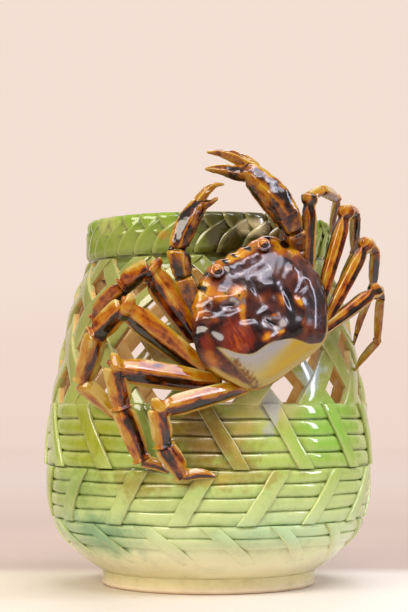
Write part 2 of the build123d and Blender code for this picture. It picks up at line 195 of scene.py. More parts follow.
# Each claw's joints from root to fixed fingertip with the width there, its moving finger in the
# same way, and its depth share.
claw_shares = {
    "left_claw": (
        [
            (-0.35, 0.1, -0.15, 0.1), (-0.37, 0.43, 0.02, 0.135), (-0.345, 0.6, 0.072, 0.14),
            (-0.276, 0.675, 0.09, 0.15), (-0.193, 0.744, 0.105, 0.146),
            (-0.123, 0.788, 0.115, 0.132), (-0.085, 0.808, 0.12, 0.112),
            (-0.045, 0.803, 0.123, 0.064), (-0.014, 0.798, 0.125, 0.048),
            (0.056, 0.805, 0.128, 0.016),
        ],
        [
            (-0.11, 0.81, 0.127, 0.06), (-0.057, 0.846, 0.129, 0.078), (0.011, 0.881, 0.137, 0.056),
            (0.076, 0.895, 0.139, 0.04), (0.145, 0.873, 0.141, 0.014),
        ],
        0.8,
    ),
    "right_claw": (
        [
            (0.34, 0.17, -0.13, 0.11), (0.47, 0.31, -0.03, 0.13), (0.454, 0.401, 0.1, 0.14),
            (0.439, 0.508, 0.145, 0.182), (0.415, 0.619, 0.166, 0.214),
            (0.385, 0.735, 0.165, 0.204), (0.352, 0.84, 0.152, 0.172), (0.333, 0.885, 0.146, 0.156),
            (0.292, 0.904, 0.125, 0.112), (0.26, 0.929, 0.1, 0.104), (0.215, 0.975, 0.08, 0.084),
            (0.167, 1.012, 0.055, 0.056), (0.112, 1.044, 0.03, 0.014),
        ],
        [
            (0.362, 0.835, 0.152, 0.09), (0.368, 0.905, 0.15, 0.118), (0.334, 0.974, 0.145, 0.098),
            (0.283, 1.044, 0.126, 0.076), (0.23, 1.099, 0.098, 0.054), (0.162, 1.14, 0.065, 0.014),
        ],
        0.74,
    ),
}

eye_shares = {"left_eye": (-0.163, 0.364, 0.075), "right_eye": (0.215, 0.4, 0.09)}


def pot_radius(height):
    """The pot's outside radius at a height, in millimetres."""
    points = [(up * pot_height, out * belly_radius) for up, out in pot_outline_shares]
    last = len(points) - 1
    spans = [i for i in range(last) if points[i][0] <= height]
    start = spans[-1] if spans else 0
    steps = []
    for i in (start, start + 1):
        (low, near), (high, far) = points[max(i - 1, 0)], points[min(i + 1, last)]
        steps.append((far - near) / (high - low))
    (low, near), (high, far) = points[start], points[start + 1]
    span = high - low
    t = min(max((height - low) / span, 0), 1)
    along = near * (1 + 2 * t) * (1 - t) ** 2 + far * t * t * (3 - 2 * t)
    return along + span * (steps[0] * t * (1 - t) ** 2 - steps[1] * t * t * (1 - t))


def on_pot(bearing, height, radius):
    """A place round the pot, in metres."""
    turn = radians(bearing)
    return Vector((sin(turn) * radius, -cos(turn) * radius, height)) * mm


def crab_axes():
    """The crab's own frame: its centre, and the ways across, forward and out."""
    rise = pot_radius(crab_height - wall) - pot_radius(crab_height + wall)
    bearing, tilt, turn = radians(crab_bearing), atan2(rise, 2 * wall), radians(crab_turn)
    out = Vector((sin(bearing) * cos(tilt), -cos(bearing) * cos(tilt), sin(tilt)))
    uphill = Vector((-sin(bearing) * sin(tilt), cos(bearing) * sin(tilt), cos(tilt)))
    level = Vector((cos(bearing), sin(bearing), 0))
    across = level * cos(turn) + uphill * sin(turn)
    centre = on_pot(crab_bearing, crab_height, pot_radius(crab_height)) + out * body_depth * mm
    return centre, across, out.cross(across), out


crab_centre, crab_across, crab_forward, crab_out = crab_axes()


def on_crab(across, forward, out):
    """A place on the crab, from its shares of the carapace's width."""
    reach = carapace_width * mm
    return crab_centre + (crab_across * across + crab_forward * forward + crab_out * out) * reach


def rising(value, start, span):
    """From 0 at the start to 1 a span later, for each place of an array."""
    return np.clip((value - start) / span, 0, 1)


def go(mode):
    bpy.ops.object.mode_set(mode=mode)


def pick(action="SELECT", kind=None):
    """Selects all or nothing of the mesh that is being edited."""
    if kind:
        bpy.ops.mesh.select_mode(type=kind)
    bpy.ops.mesh.select_all(action=action)


def put_tools_down():
    """Leaves edit mode with nothing selected."""
    if bpy.context.object and bpy.context.object.mode != "OBJECT":
        go("OBJECT")
    bpy.ops.object.select_all(action="DESELECT")


def take_up(piece):
    put_tools_down()
    piece.select_set(True)
    bpy.context.view_layer.objects.active = piece


def settled():
    """The object just made, with its place, turn and size taken into its mesh."""
    bpy.ops.object.transform_apply(location=True, rotation=True, scale=True)
    return bpy.context.object


def new_ball(centre, turn, radius, segments, rings, length=1):
    put_tools_down()
    bpy.ops.mesh.primitive_uv_sphere_add(
        segments=segments, ring_count=rings, radius=radius, location=centre, rotation=turn
    )
    bpy.context.object.scale.z = length
    return settled()


def new_object(name, data):
    made = bpy.data.objects.new(name, data)
    bpy.context.scene.collection.objects.link(made)
    return made


def ring(centre, across, facing, half_width, half_depth, corners, start_turn):
    """One ring of a length: a circle at its place, squeezed to its width and depth."""
    facing = facing.normalized()
    across = (across - facing * across.dot(facing)).normalized()
    axes = Matrix((across, facing.cross(across), facing)).transposed()
    turned_to = (axes @ Matrix.Rotation(start_turn, 3, "Z")).to_euler()
    bpy.ops.mesh.primitive_circle_add(vertices=corners, location=centre, rotation=turned_to)
    if bpy.context.object.mode == "OBJECT":
        settled()
        go("EDIT")
        pick()
    bpy.ops.transform.resize(
        value=(half_width, half_depth, 1),
        orient_type="GLOBAL",
        orient_matrix=axes,
        orient_matrix_type="GLOBAL",
        center_override=centre,
    )


def bridge_rings():
    """Bridges all the rings that are being modelled, one to the next, and closes both ends."""
    pick()
    bpy.ops.mesh.bridge_edge_loops()
    pick("DESELECT", "EDGE")
    others = ("use_wire", "use_multi_face", "use_non_contiguous", "use_verts")
    bpy.ops.mesh.select_non_manifold(extend=False, **dict.fromkeys(others, False))
    bpy.ops.mesh.fill_holes(sides=0)
    pick()
    bpy.ops.mesh.normals_make_consistent(inside=False)
    go("OBJECT")
    return bpy.context.object


def crease_ridges(piece, ridge_corners, amount):
    """Creases the long edges that run along chosen corners of a limb's rings."""
    take_up(piece)
    go("EDIT")
    pick("DESELECT", "EDGE")
    go("OBJECT")
    for edge in piece.data.edges:
        first, second = edge.vertices
        along = first // limb_corners != second // limb_corners
        edge.select = along and first % limb_corners in ridge_corners
    go("EDIT")
    bpy.ops.transform.edge_crease(value=amount)
    go("OBJECT")


def apply_modifier(piece, kind, **settings):
    take_up(piece)
    bpy.ops.object.modifier_add(type=kind)
    modifier = piece.modifiers[-1]
    for key, value in settings.items():
        setattr(modifier, key, value)
    bpy.ops.object.modifier_apply(modifier=modifier.name)


def bevel(piece, width, segments, angle):
    apply_modifier(
        piece,
        "BEVEL",
        width=width,
        segments=segments,
        limit_method="ANGLE",
        angle_limit=radians(angle),
    )


def roughen(piece, grain, depth):
    """A slight hand-made unevenness, from a soft cloud pattern in the piece's own space."""
    pattern = bpy.data.textures.new(piece.name + "_unevenness", "CLOUDS")
    pattern.noise_scale = grain * mm
    pattern.noise_depth = 1
    apply_modifier(
        piece,
        "DISPLACE",
        texture=pattern,
        texture_coords="GLOBAL",
        strength=depth * mm,
        mid_level=0.5,
    )


def smooth(piece, angle):
    take_up(piece)
    bpy.ops.object.shade_smooth_by_angle(angle=radians(angle))


def join(pieces, name):
    put_tools_down()
    for piece in pieces:
        piece.select_set(True)
    bpy.context.view_layer.objects.active = pieces[0]
    if len(pieces) > 1:
        bpy.ops.object.join()
    joined = bpy.context.object
    joined.name = name
    return joined


def places(piece):
    """All the piece's vertices as one array, in metres."""
    co = np.zeros(len(piece.data.vertices) * 3)
    piece.data.vertices.foreach_get("co", co)
    return co.reshape(-1, 3)


def move_to(piece, co):
    piece.data.vertices.foreach_set("co", co.ravel())
    piece.data.update()


def mark(piece, **masks):
    """Writes masks on the piece's vertices for its glaze to read: arrays, or one level for all."""
    for name, values in masks.items():
        layer = piece.data.attributes.get(name)
        layer = layer or piece.data.attributes.new(name, "FLOAT", "POINT")
        levels = np.broadcast_to(np.asarray(values, np.float32), len(piece.data.vertices))
        layer.data.foreach_set("value", np.ascontiguousarray(levels))


def set_in_place(piece, node, glaze):
    """Glazes a finished piece, with every mask that the glaze reads, and hands it to the frame."""
    for reader in glaze.node_tree.nodes:
        if reader.type == "ATTRIBUTE" and reader.attribute_name not in piece.data.attributes:
            mark(piece, **{reader.attribute_name: 0.0})
    piece.data.materials.clear()
    piece.data.materials.append(glaze)
    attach(piece, "root")
    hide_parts(node)


class Value:
    """A node's output. A sum, difference or product of it is a Math node."""

    def __init__(self, socket):
        self.socket = socket

    def __add__(self, other):
        return maths("ADD", self, other)

    def __sub__(self, other):
        return maths("SUBTRACT", self, other)

    def __rsub__(self, other):
        return maths("SUBTRACT", other, self)

    def __mul__(self, other):
        return maths("MULTIPLY", self, other)


def plug(socket, value):
    """Links a socket to a node's output, or gives it a plain value."""
    if isinstance(value, Value):
        socket.id_data.links.new(value.socket, socket)
    else:
        socket.default_value = value


def tree_of(values):
    return next(value.socket.id_data for value in values if isinstance(value, Value))


def node_for(kind, values, **settings):
    """A node in the tree that the values come from, its sockets plugged in order."""
    node = tree_of(values).nodes.new("ShaderNode" + kind)
    for key, value in settings.items():
        setattr(node, key, value)
    for socket, value in zip(node.inputs, values):
        plug(socket, value)
    return node


def maths(operation, *values, clamp=False):
    return Value(node_for("Math", values, operation=operation, use_clamp=clamp).outputs[0])


def vectors(operation, *values):
    outputs = node_for("VectorMath", values, operation=operation).outputs
    return Value(outputs["Value" if operation == "LENGTH" else "Vector"])


def soft_step(value, low, high):
    values = (value, low, high, 0.0, 1.0)
    return Value(node_for("MapRange", values, interpolation_type="SMOOTHSTEP").outputs[0])


def blend_colours(mask, below, above, way="MIX"):
    node = tree_of((mask, below, above)).nodes.new("ShaderNodeMix")
    node.data_type, node.blend_type = "RGBA", way
    for number, value in ((0, mask), (6, below), (7, above)):
        plug(node.inputs[number], value)
    return Value(node.outputs[2])


def add_node(tree, kind, output, **inputs):
    """One output of a new node, its named sockets linked or given plain values."""
    node = tree.nodes.new("ShaderNode" + kind)
    for key, value in inputs.items():
        plug(node.inputs[key], value)
    return Value(node.outputs[output])


def clouds(tree, place, scale, detail, roughness=0.5, distortion=0.0):
    """A cloudy pattern that swings about zero."""
    pattern = add_node(
        tree,
        "TexNoise",
        "Fac",
        Vector=place,
        Scale=scale,
        Detail=detail,
        Roughness=roughness,
        Distortion=distortion,
    )
    return pattern - 0.5


def read_mask(tree, name):
    node = tree.nodes.new("ShaderNodeAttribute")
    node.attribute_name = name
    return Value(node.outputs["Fac"])


def colour(text):
    """A colour written as it looks, turned to the light values that Blender mixes."""
    values = [int(text[i : i + 2], 16) / 255 for i in (0, 2, 4)]
    return [v / 12.92 if v <= 0.04045 else ((v + 0.055) / 1.055) ** 2.4 for v in values] + [1.0]


def ramp_of(value, stops, interpolation="LINEAR"):
    """A ramp through the given colours, or through plain levels."""
    node = node_for("ValToRGB", (value,))
    ramp = node.color_ramp
    ramp.interpolation = interpolation
    while len(ramp.elements) < len(stops):
        ramp.elements.new(0.5)
    for element, (spot, given) in zip(ramp.elements, stops):
        element.position = spot
        element.color = colour(given) if isinstance(given, str) else (given, given, given, 1)
    return Value(node.outputs["Color"])


origin = (0.0, 0.0, 0.0)
# A socket's kind, by how many numbers it holds.
socket_kinds = {1: "NodeSocketFloat", 3: "NodeSocketVector", 4: "NodeSocketColor"}


def new_group(name, inputs, outputs):
    """A node group: its sockets' kinds follow from the default values."""
    tree = bpy.data.node_groups.new(name, "ShaderNodeTree")
    for label, default in inputs.items():
        kind = socket_kinds[np.size(default)]
        socket = tree.interface.new_socket(name=label, in_out="INPUT", socket_type=kind)
        socket.default_value = default
    for label, size in outputs.items():
        kind = socket_kinds[size]
        tree.interface.new_socket(name=label, in_out="OUTPUT", socket_type=kind)
    given = tree.nodes.new("NodeGroupInput").outputs
    return tree, {s.name: Value(s) for s in given}, tree.nodes.new("NodeGroupOutput").inputs


def placed_group(tree, group, **inputs):
    node = tree.nodes.new("ShaderNodeGroup")
    node.node_tree = group
    for key, value in inputs.items():
        plug(node.inputs[key], value)
    return {socket.name: Value(socket) for socket in node.outputs}


def build_glaze_break():
    """Glaze that pools dark in hollows and breaks pale over edges, with cloudy mottling. Where a
    piece marks them so, the same masks lay painted shade and painted highlight.
    """
    tree, given, made = new_group(
        "Glaze breaking",
        dict(
            Place=origin,
            Body=(0.5, 0.5, 0.5, 1),
            Pooled=(0.1, 0.1, 0.1, 1),
            Worn=(0.9, 0.9, 0.9, 1),
            Hollow=0.0,
            Edge=0.0,
            Clouds=60.0,
            Mottle=0.3,
        ),
        dict(Colour=4),
    )
    wander = clouds(tree, given["Place"], given["Clouds"], 3.0, 0.6)
    speck = clouds(tree, given["Place"], 420.0, 2.0)
    sway = (speck * 0.35 + wander) * given["Mottle"] * 1.6
    hollow = maths("ADD", given["Hollow"], sway, clamp=True)
    edge = maths("SUBTRACT", given["Edge"], sway, clamp=True)
    pooled = blend_colours(hollow, given["Body"], given["Pooled"])
    plug(made["Colour"], blend_colours(edge, pooled, given["Worn"]))
    return tree


def build_glaze_run():
    """A ragged patch of another glaze round one place on the pot."""
    tree, given, made = new_group(
        "Glaze run",
        dict(Place=origin, Centre=origin, Reach=(0.02, 0.02, 0.02), Raggedness=0.5, Softness=0.5),
        dict(Mask=1),
    )
    away = vectors("SUBTRACT", given["Place"], given["Centre"])
    distance = vectors("LENGTH", vectors("DIVIDE", away, given["Reach"]))
    push = clouds(tree, given["Place"], 95.0, 4.0, 0.65) * given["Raggedness"]
    covered = soft_step(push * 3.0 + distance, 1.0 - given["Softness"], 1.15)
    plug(made["Mask"], 1.0 - covered)
    return tree


def build_fired_surface():
    """The slight ripple and the few pinholes of a thick fired glaze."""
    tree, given, made = new_group(
        "Fired surface",
        dict(Place=origin, Ripple=0.5, Pinholes=0.3),
        dict(Height=1, Roughness=1),
    )
    ripple = clouds(tree, given["Place"], 130.0, 2.0)
    holes = add_node(tree, "TexVoronoi", "Distance", Vector=given["Place"], Scale=260.0)
    pit = 1.0 - soft_step(holes, 0.02, 0.16)
    plug(made["Height"], ripple * given["Ripple"] - pit * given["Pinholes"])
    plug(made["Roughness"], ripple * 0.10 + 0.08)
    return tree


def build_glaze_streaks():
    """Fine streaks of thick and thin glaze that run along a surface, with loose blotches."""
    tree, given, made = new_group(
        "Glaze streaks",
        dict(Place=origin, Along=0.0, Across=0.0, Seed=0.0, Streaks=0.5, Blotches=0.5),
        dict(Level=1),
    )
    along, across, seed = given["Along"], given["Across"], given["Seed"]
    spot = add_node(tree, "CombineXYZ", "Vector", X=along, Y=across, Z=seed)
    lines = clouds(tree, spot, 1.0, 3.0, 0.6, 0.4) * given["Streaks"]
    spots = clouds(tree, given["Place"], 130.0, 3.0, 0.6) * given["Blotches"]
    plug(made["Level"], lines + spots)
    return tree


glaze_break = build_glaze_break()
glaze_streaks = build_glaze_streaks()
glaze_run = build_glaze_run()
fired_surface = build_fired_surface()


def start_material(name):
    material = bpy.data.materials.new(name)
    material.use_nodes = True
    tree = material.node_tree
    tree.nodes.clear()
    output = tree.nodes.new("ShaderNodeOutputMaterial")
    shader = tree.nodes.new("ShaderNodeBsdfPrincipled")
    tree.links.new(shader.outputs[0], output.inputs[0])
    return material, tree, shader, add_node(tree, "TexCoord", "Object")


def broken_glaze(tree, place, body, pooled, worn, hollow, edge, cloud_size, mottle):
    return placed_group(
        tree,
        glaze_break,
        Place=place,
        Body=body,
        Pooled=pooled,
        Worn=worn,
        Hollow=hollow,
        Edge=edge,
        Clouds=cloud_size,
        Mottle=mottle,
    )["Colour"]


def lay_bump(tree, shader, height, strength, depth):
    bump = add_node(tree, "Bump", "Normal", Height=height, Strength=strength, Distance=depth * mm)
    plug(shader.inputs["Normal"], bump)


def finish_glaze(tree, shader, place, base, ripple, pinholes, depth, coat, coat_dull, dull=0.0):
    """The shader's colour, its fired surface and its clear coat."""
    plug(shader.inputs["Base Color"], base)
    surface = placed_group(tree, fired_surface, Place=place, Ripple=ripple, Pinholes=pinholes)
    lay_bump(tree, shader, surface["Height"], 0.6, depth)
    plug(shader.inputs["Roughness"], surface["Roughness"] + dull)
    shader.inputs["Coat Weight"].default_value = coat
    shader.inputs["Coat Roughness"].default_value = coat_dull
    shader.inputs["IOR"].default_value = 1.5


def height_colours(tree, place, stops, wander):
    """Colours that follow the pot's height, with a wavering edge between them."""
    shift = clouds(tree, place, 28.0, 2.0) * (wander * mm)
    height = (add_node(tree, "SeparateXYZ", "Z", Vector=place) + shift) * (1 / (pot_height * mm))
    return ramp_of(height, [(at / pot_height, text) for at, text in stops], "B_SPLINE")


def pot_glaze(name, stops, pooled, worn, runs, mottle):
    """The pot's glaze: bands of colour by height, and patches of other colour over them: runs of
    other glazes, and a few painted highlights.
    """
    material, tree, shader, place = start_material(name)
    body = height_colours(tree, place, stops, 18)
    for centre, reach, text, ragged, soft, strength in runs:
        run = placed_group(
            tree,
            glaze_run,
            Place=place,
            Centre=[c * mm for c in centre],
            Reach=[r * mm for r in reach],
            Raggedness=ragged,
            Softness=soft,
        )
        body = blend_colours(run["Mask"] * strength, body, colour(text))
    shade = blend_colours(0.85, body, colour(pooled), "MULTIPLY")
    light = blend_colours(0.55, body, colour(worn))
    # The masks that each piece writes: painted shade with glaze pooling in it, and painted
    # highlight with pale wear of the glaze.
    hollow, edge = read_mask(tree, "hollow"), read_mask(tree, "edge")
    base = broken_glaze(tree, place, body, shade, light, hollow, edge, 70.0, mottle)
    finish_glaze(tree, shader, place, base, 0.6, 0.25, 0.25, 0.2, 0.04)
    return material


# Patches of other glazes on the pot, and one of painted highlight: centre, reach, colour,
# raggedness, softness and strength.
pot_runs = [
    ((-2, -88, 84), (30, 40, 24), "7a5a20", 0.45, 0.7, 0.92),
    ((12, -88, 64), (34, 30, 8), "8c7a26", 0.9, 0.6, 0.7),
    ((-34, -84, 60), (26, 30, 9), "8a7c1c", 0.9, 0.7, 0.75),
    ((-60, -60, 84), (26, 40, 24), "8f9210", 0.5, 0.8, 0.8),
    ((-70, -56, 54), (30, 50, 16), "7d9846", 0.4, 0.8, 0.8),
    ((34, -80, 98), (20, 30, 14), "c2b272", 0.7, 0.8, 0.75),
    ((53, -68, 117), (9, 25, 13), "a9b6bc", 1.0, 0.5, 0.8),
    ((32, -80, 96), (5, 30, 15), "a4a8b0", 0.9, 0.6, 0.7),
    ((-30, -78, 127), (16, 30, 16), "7e4c20", 0.7, 0.8, 0.75),
    ((-12, -86, 97), (16, 30, 9), "5c3a18", 0.8, 0.6, 0.7),
    ((30, -70, 24), (50, 50, 8), "e0d8a6", 0.6, 0.9, 0.4),
    ((-62, -62, 32), (36, 50, 15), "6e9a74", 0.4, 0.8, 0.8),
    ((60, -60, 88), (26, 40, 24), "7fb83e", 0.4, 0.8, 0.7),
    ((36, -80, 33), (40, 40, 10), "a6d0a2", 0.6, 0.8, 0.5),
    # Painted highlight: a straw patch for the bright glints on the slats below the crab.
    ((-2, -88, 61), (18, 30, 4), "b4a23c", 0.7, 0.5, 0.6),
    ((15, -86, 94), (8, 30, 20), "b4a456", 1.1, 0.7, 0.6),
]
green_glaze = pot_glaze(
    "green_glaze",
    [
        (0, "e0d8a4"),
        (9, "dcd6a4"),
        (17, "ebe4bc"),
        (26, "c9daa4"),
        (36, "b7cb8c"),
        (50, "afc173"),
        (68, "a1b759"),
        (92, "95a844"),
        (110, "8f9542"),
        (140, "8f9046"),
        (172, "868a3e"),
        (200, "7b8c38"),
    ],
    "46602c",
    "e0dca4",
    pot_runs,
    0.45,
)
rim_glaze = pot_glaze(
    "rim_glaze",
    [(165, "94a050"), (180, "7a8a34"), (190, "7e9030"), (200, "7c982a")],
    "3a4a1c",
    "c6c27c",
    [
        # A dark olive-brown patch on the rim's front above the crab.
        ((20, -66, 190), (38, 30, 24), "3c340f", 0.35, 0.6, 0.94),
        ((24, -66, 191.5), (10, 14, 5.5), "d8c898", 0.35, 0.6, 0.95),
        ((38, -58, 190), (10, 16, 14), "5a300e", 0.6, 0.6, 0.8),
        ((-24, -66, 188), (5, 14, 4.0), "a87416", 0.6, 0.7, 0.8),
        # Painted highlight: a pale patch on the rim's upper left, where the key lamp falls.
        ((-58, -44, 195), (16, 20, 7), "b4b06c", 0.9, 0.8, 0.6),
    ],
    0.35,
)


def inside_glaze():
    """The thin honey glaze of the pot's inside."""
    material, tree, shader, place = start_material("inside_glaze")
    body, pooled, worn = colour("cfa964"), colour("a97a38"), colour("e6d09c")
    base = broken_glaze(tree, place, body, pooled, worn, 0.15, 0.1, 50.0, 0.6)
    finish_glaze(tree, shader, place, base, 0.6, 0.3, 0.2, 0.1, 0.1)
    return material


def bare_clay_finish():
    """The foot: cream glaze that thins out above a bare, slightly gritty edge."""
    material, tree, shader, place = start_material("bare_clay")
    stops = [(0, "e2bf9e"), (1.6, "e4caa2"), (3.0, "dccf98"), (9, "dcd49c")]
    body = height_colours(tree, place, stops, 3)
    pooled, worn, edge = colour("a58d5e"), colour("ece0c0"), read_mask(tree, "edge")
    base = broken_glaze(tree, place, body, pooled, worn, 0.05, edge, 90.0, 0.5)
    plug(shader.inputs["Base Color"], base)
    lay_bump(tree, shader, clouds(tree, place, 900.0, 3.0), 0.35, 0.15)
    dull = soft_step(add_node(tree, "SeparateXYZ", "Z", Vector=place), 3.4 * mm, 1.2 * mm)
    plug(shader.inputs["Roughness"], dull * 0.55 + 0.15)
    return material


honey_glaze = inside_glaze()
bare_clay = bare_clay_finish()


def limb_glaze_finish(name, stops, bands, lift, spread, ripple, dullness):
    """Brown glaze that lies in bands along a limb: dark on its flanks, amber to straw on ridges."""
    material, tree, shader, place = start_material(name)
    tint, side = read_mask(tree, "tint"), read_mask(tree, "across")
    loose = placed_group(
        tree,
        glaze_streaks,
        Place=place,
        Along=read_mask(tree, "run") * 60.0,
        Across=side * 1.7,
        Seed=tint * 31.0,
        Streaks=spread[0],
        Blotches=spread[1],
    )["Level"]
    seat = maths("MULTIPLY_ADD", loose * 0.22 + side, 0.5, 0.5, clamp=True)
    band = ramp_of(seat, [((at + 1) / 2, share) for at, share in bands])
    level = maths("ADD", band + loose + read_mask(tree, "ridge") + tint, lift, clamp=True)
    body, pooled, worn = ramp_of(level, stops), colour(stops[0][1]), colour(stops[-1][1])
    hollow, edge = read_mask(tree, "hollow"), read_mask(tree, "edge")
    base = broken_glaze(tree, place, body, pooled, worn, hollow, edge, 160.0, 0.15)
    finish_glaze(tree, shader, place, base, ripple, 0.15, 0.3, 0.15, 0.03 + dullness, dullness)
    return material


limb_stops = [
    (0.0, "120605"), (0.13, "1c0805"), (0.26, "551c05"), (0.4, "843c05"), (0.56, "a35c06"),
    (0.72, "a87610"), (0.88, "a8801c"), (1.0, "b69a50"),
]
claw_stops = [
    (0.0, "140705"), (0.14, "200b06"), (0.28, "552407"), (0.44, "804304"), (0.64, "925c04"),
    (0.86, "a07406"), (1.0, "ac851c"),
]
# How thin the glaze lies from a limb's lower edge at -1, over the line along its back, to its upper
# edge at 1: dark below 0.2, amber to 0.7, straw above.
leg_bands = [
    (-1.0, 1.0), (-0.88, 0.8), (-0.74, 0.62), (-0.66, 0.1), (-0.2, 0.04), (0.04, 0.14), (0.18, 0.4),
    (0.25, 0.42), (0.3, 0.72), (0.35, 0.46), (0.72, 0.52), (0.86, 0.64), (0.95, 0.9), (1.0, 1.0),
]
claw_bands = [
    (-1.0, 0.7), (-0.92, 0.5), (-0.82, 0.26), (-0.35, 0.26), (-0.05, 0.4), (0.2, 0.42),
    (0.29, 0.76), (0.38, 0.42), (0.52, 0.16), (0.8, 0.14), (0.9, 0.5), (0.96, 0.85), (1.0, 0.85),
]
limb_glaze = limb_glaze_finish("limb_glaze", limb_stops, leg_bands, 0.02, (1.4, 1.1), 0.8, 0.0)
claw_glaze = limb_glaze_finish("claw_glaze", claw_stops, claw_bands, 0.02, (0.9, 2.0), 2.0, 0.06)

# The coats of glaze on the carapace, lowest first, with a few coats of painted highlight and
# reflection
# among them: mask, colour, where the coat begins and is full, and how far which pattern sways it.
shell_coats = [
    ("red", "651d0d", 0.25, 0.8, 0.7, "lines"),
    ("red", "94400c", 0.85, 1.5, 1.4, "lines"),
    ("amber", "6a2e0a", 0.15, 0.6, 0.9, "sway"),
    ("amber", "a8620a", 0.45, 1.0, 1.5, "sway"),
    ("amber", "b88410", 0.9, 1.3, 2.6, "speck"),
    ("margin", "221009", 0.60, 1.15, 3.0, "speck"),
    ("straw", "a29048", 0.0, 0.5, 0.2, "sway"),
    # Painted reflection: a white spot on the left rear margin and a grey-lilac sheen behind the
    # brown glaze's edge.
    ("pale", "8f8a86", 0.0, 0.85, 0.2, "sway"),
    # Straw glaze along the rear rim, with rings of painted highlight round a bump.
    ("rim", "a88c3c", 0.35, 0.9, 0.5, "sway"),
    ("ochre", "a68622", 0.15, 0.95, 0.7, "sway"),
    ("speckle", "6a4212", 0.35, 1.25, 2.2, "grit"),
    ("dark", "120708", 0.25, 0.8, 0.7, "sway"),
    # Milky glaze; a few of its patches are a painted highlight and a painted reflection.
    ("milky", "5e4e54", 0.35, 1.0, 1.8, "speck"),
    ("milky", "a09894", 0.8, 1.5, 2.8, "speck"),
    ("slot", "0d0708", 0.3, 0.8, 0.3, "sway"),
]


def shell_glaze_finish():
    """The carapace: red-brown glaze under amber, milky, red and straw runs on its bumps, with
    painted highlights and reflections laid among them.
    """
    material, tree, shader, place = start_material("shell_glaze")
    streaks = placed_group(
        tree,
        glaze_streaks,
        Place=place,
        Along=read_mask(tree, "forward") * 9.0,
        Across=read_mask(tree, "across") * 52.0,
        Streaks=1.6,
        Blotches=0.5,
    )
    patterns = {
        "sway": clouds(tree, place, 90.0, 4.0, 0.6),
        "speck": clouds(tree, place, 230.0, 3.0, 0.6, 0.5),
        "grit": clouds(tree, place, 560.0, 2.0, 0.6),
        "lines": streaks["Level"],
    }
    ground = soft_step(patterns["sway"] * 2.0 + 0.42, 0.1, 0.95)
    base = blend_colours(ground, colour("190809"), colour("54200f"))
    for mask, text, begins, full, wander, pattern in shell_coats:
        level = patterns[pattern] * wander + read_mask(tree, mask)
        base = blend_colours(soft_step(level, begins, full), base, colour(text))
    finish_glaze(tree, shader, place, base, 0.7, 0.08, 0.3, 0.15, 0.02, 0.09)
    return material


shell_glaze = shell_glaze_finish()


def turned(name, profile):
    """A part thrown on the wheel: its profile is drawn point by point, then spun about the axis."""
    put_tools_down()
    points = [Vector((radius, 0, height)) * mm for radius, height in profile]
    bpy.ops.mesh.primitive_plane_add(size=mm, location=points[0])
    settled()
    go("EDIT")
    pick("SELECT", "VERT")
    bpy.ops.mesh.merge(type="CENTER")
    for before, after in zip(points, points[1:] + points[:1]):
        bpy.ops.mesh.extrude_region_move(TRANSFORM_OT_translate={"value": after - before})
    pick()
    bpy.ops.mesh.remove_doubles(threshold=0.001 * mm)
    pick()
    bpy.ops.mesh.spin(steps=wheel_steps, angle=2 * pi, center=(0, 0, 0), axis=(0, 0, 1))
    pick()
    bpy.ops.mesh.remove_doubles(threshold=0.005 * mm)
    bpy.ops.mesh.normals_make_consistent(inside=False)
    go("OBJECT")
    bpy.context.object.name = name
    return bpy.context.object


# A slat's outside: share of its height, and how far it lies back from the wall's outline.
slat_edge = [(0.0, groove_depth), (0.055, 1.0), (0.10, 0.3), (0.20, 0.0)]
slat_edge += [(0.40, -0.1), (0.60, -0.1), (0.80, 0.05), (0.92, 0.3)]


def slats_outside(heights):
    """The outside of a stack of slats: a thin cut below each, and softly rounded edges."""
    profile = []
    for low, high in zip(heights, heights[1:]):
        for at, back in slat_edge:
            height = low + at * (high - low)
            profile.append((pot_radius(height) - back, height))
    return profile + [(pot_radius(heights[-1]) - groove_depth, heights[-1])]


strip_runs = []


def strip_gap(bearing, height):
    """How far a place on the wall is from the nearest strip's edge, in millimetres."""
    nearest = np.full(bearing.shape, 99.0)
    for low, high, at_top, at_low in strip_runs:
        inside = (height > low - 1) & (height < high + 1)
        centre = at_low + (at_top - at_low) * ((height - low) / (high - low))
        off = np.abs((bearing - centre + 180) % 360 - 180)
        gap = np.radians(off) * belly_radius - strip_width / 2
        nearest = np.where(inside, np.minimum(nearest, np.abs(gap)), nearest)
    return nearest


def wall_places(piece):
    """A wall's vertices in millimetres, their radii and bearings, and which lie outside."""
    co = places(piece) / mm
    radius = np.hypot(co[:, 0], co[:, 1])
    bearing = np.degrees(np.arctan2(co[:, 0], -co[:, 1]))
    return co, radius, bearing, np.array([pot_radius(h) for h in co[:, 2]]) - radius < wall / 2


def pillow(piece, groove_heights):
    """Slats that bulge a little between the strips and dip where they pass under them."""
    co, radius, bearing, outside = wall_places(piece)
    height = co[:, 2]
    on_slats = outside & (height > groove_heights[0]) & (height < groove_heights[-1])
    number = np.digitize(height, groove_heights)
    turn = np.radians(bearing)
    sway = np.sin(turn * 7 + number * 2.1) + 0.6 * np.sin(turn * 17 + number * 4.7)
    bulge = 0.75 * (1 - np.exp(-strip_gap(bearing, height) / 4)) - 0.45 + 0.16 * sway
    grow = 1 + np.where(on_slats, bulge, 0) / radius.clip(1)
    lift = np.where(on_slats, 0.22 * np.sin(turn * 11 + number * 1.3), 0)
    move_to(piece, np.stack([co[:, 0] * grow, co[:, 1] * grow, height + lift], axis=1) * mm)


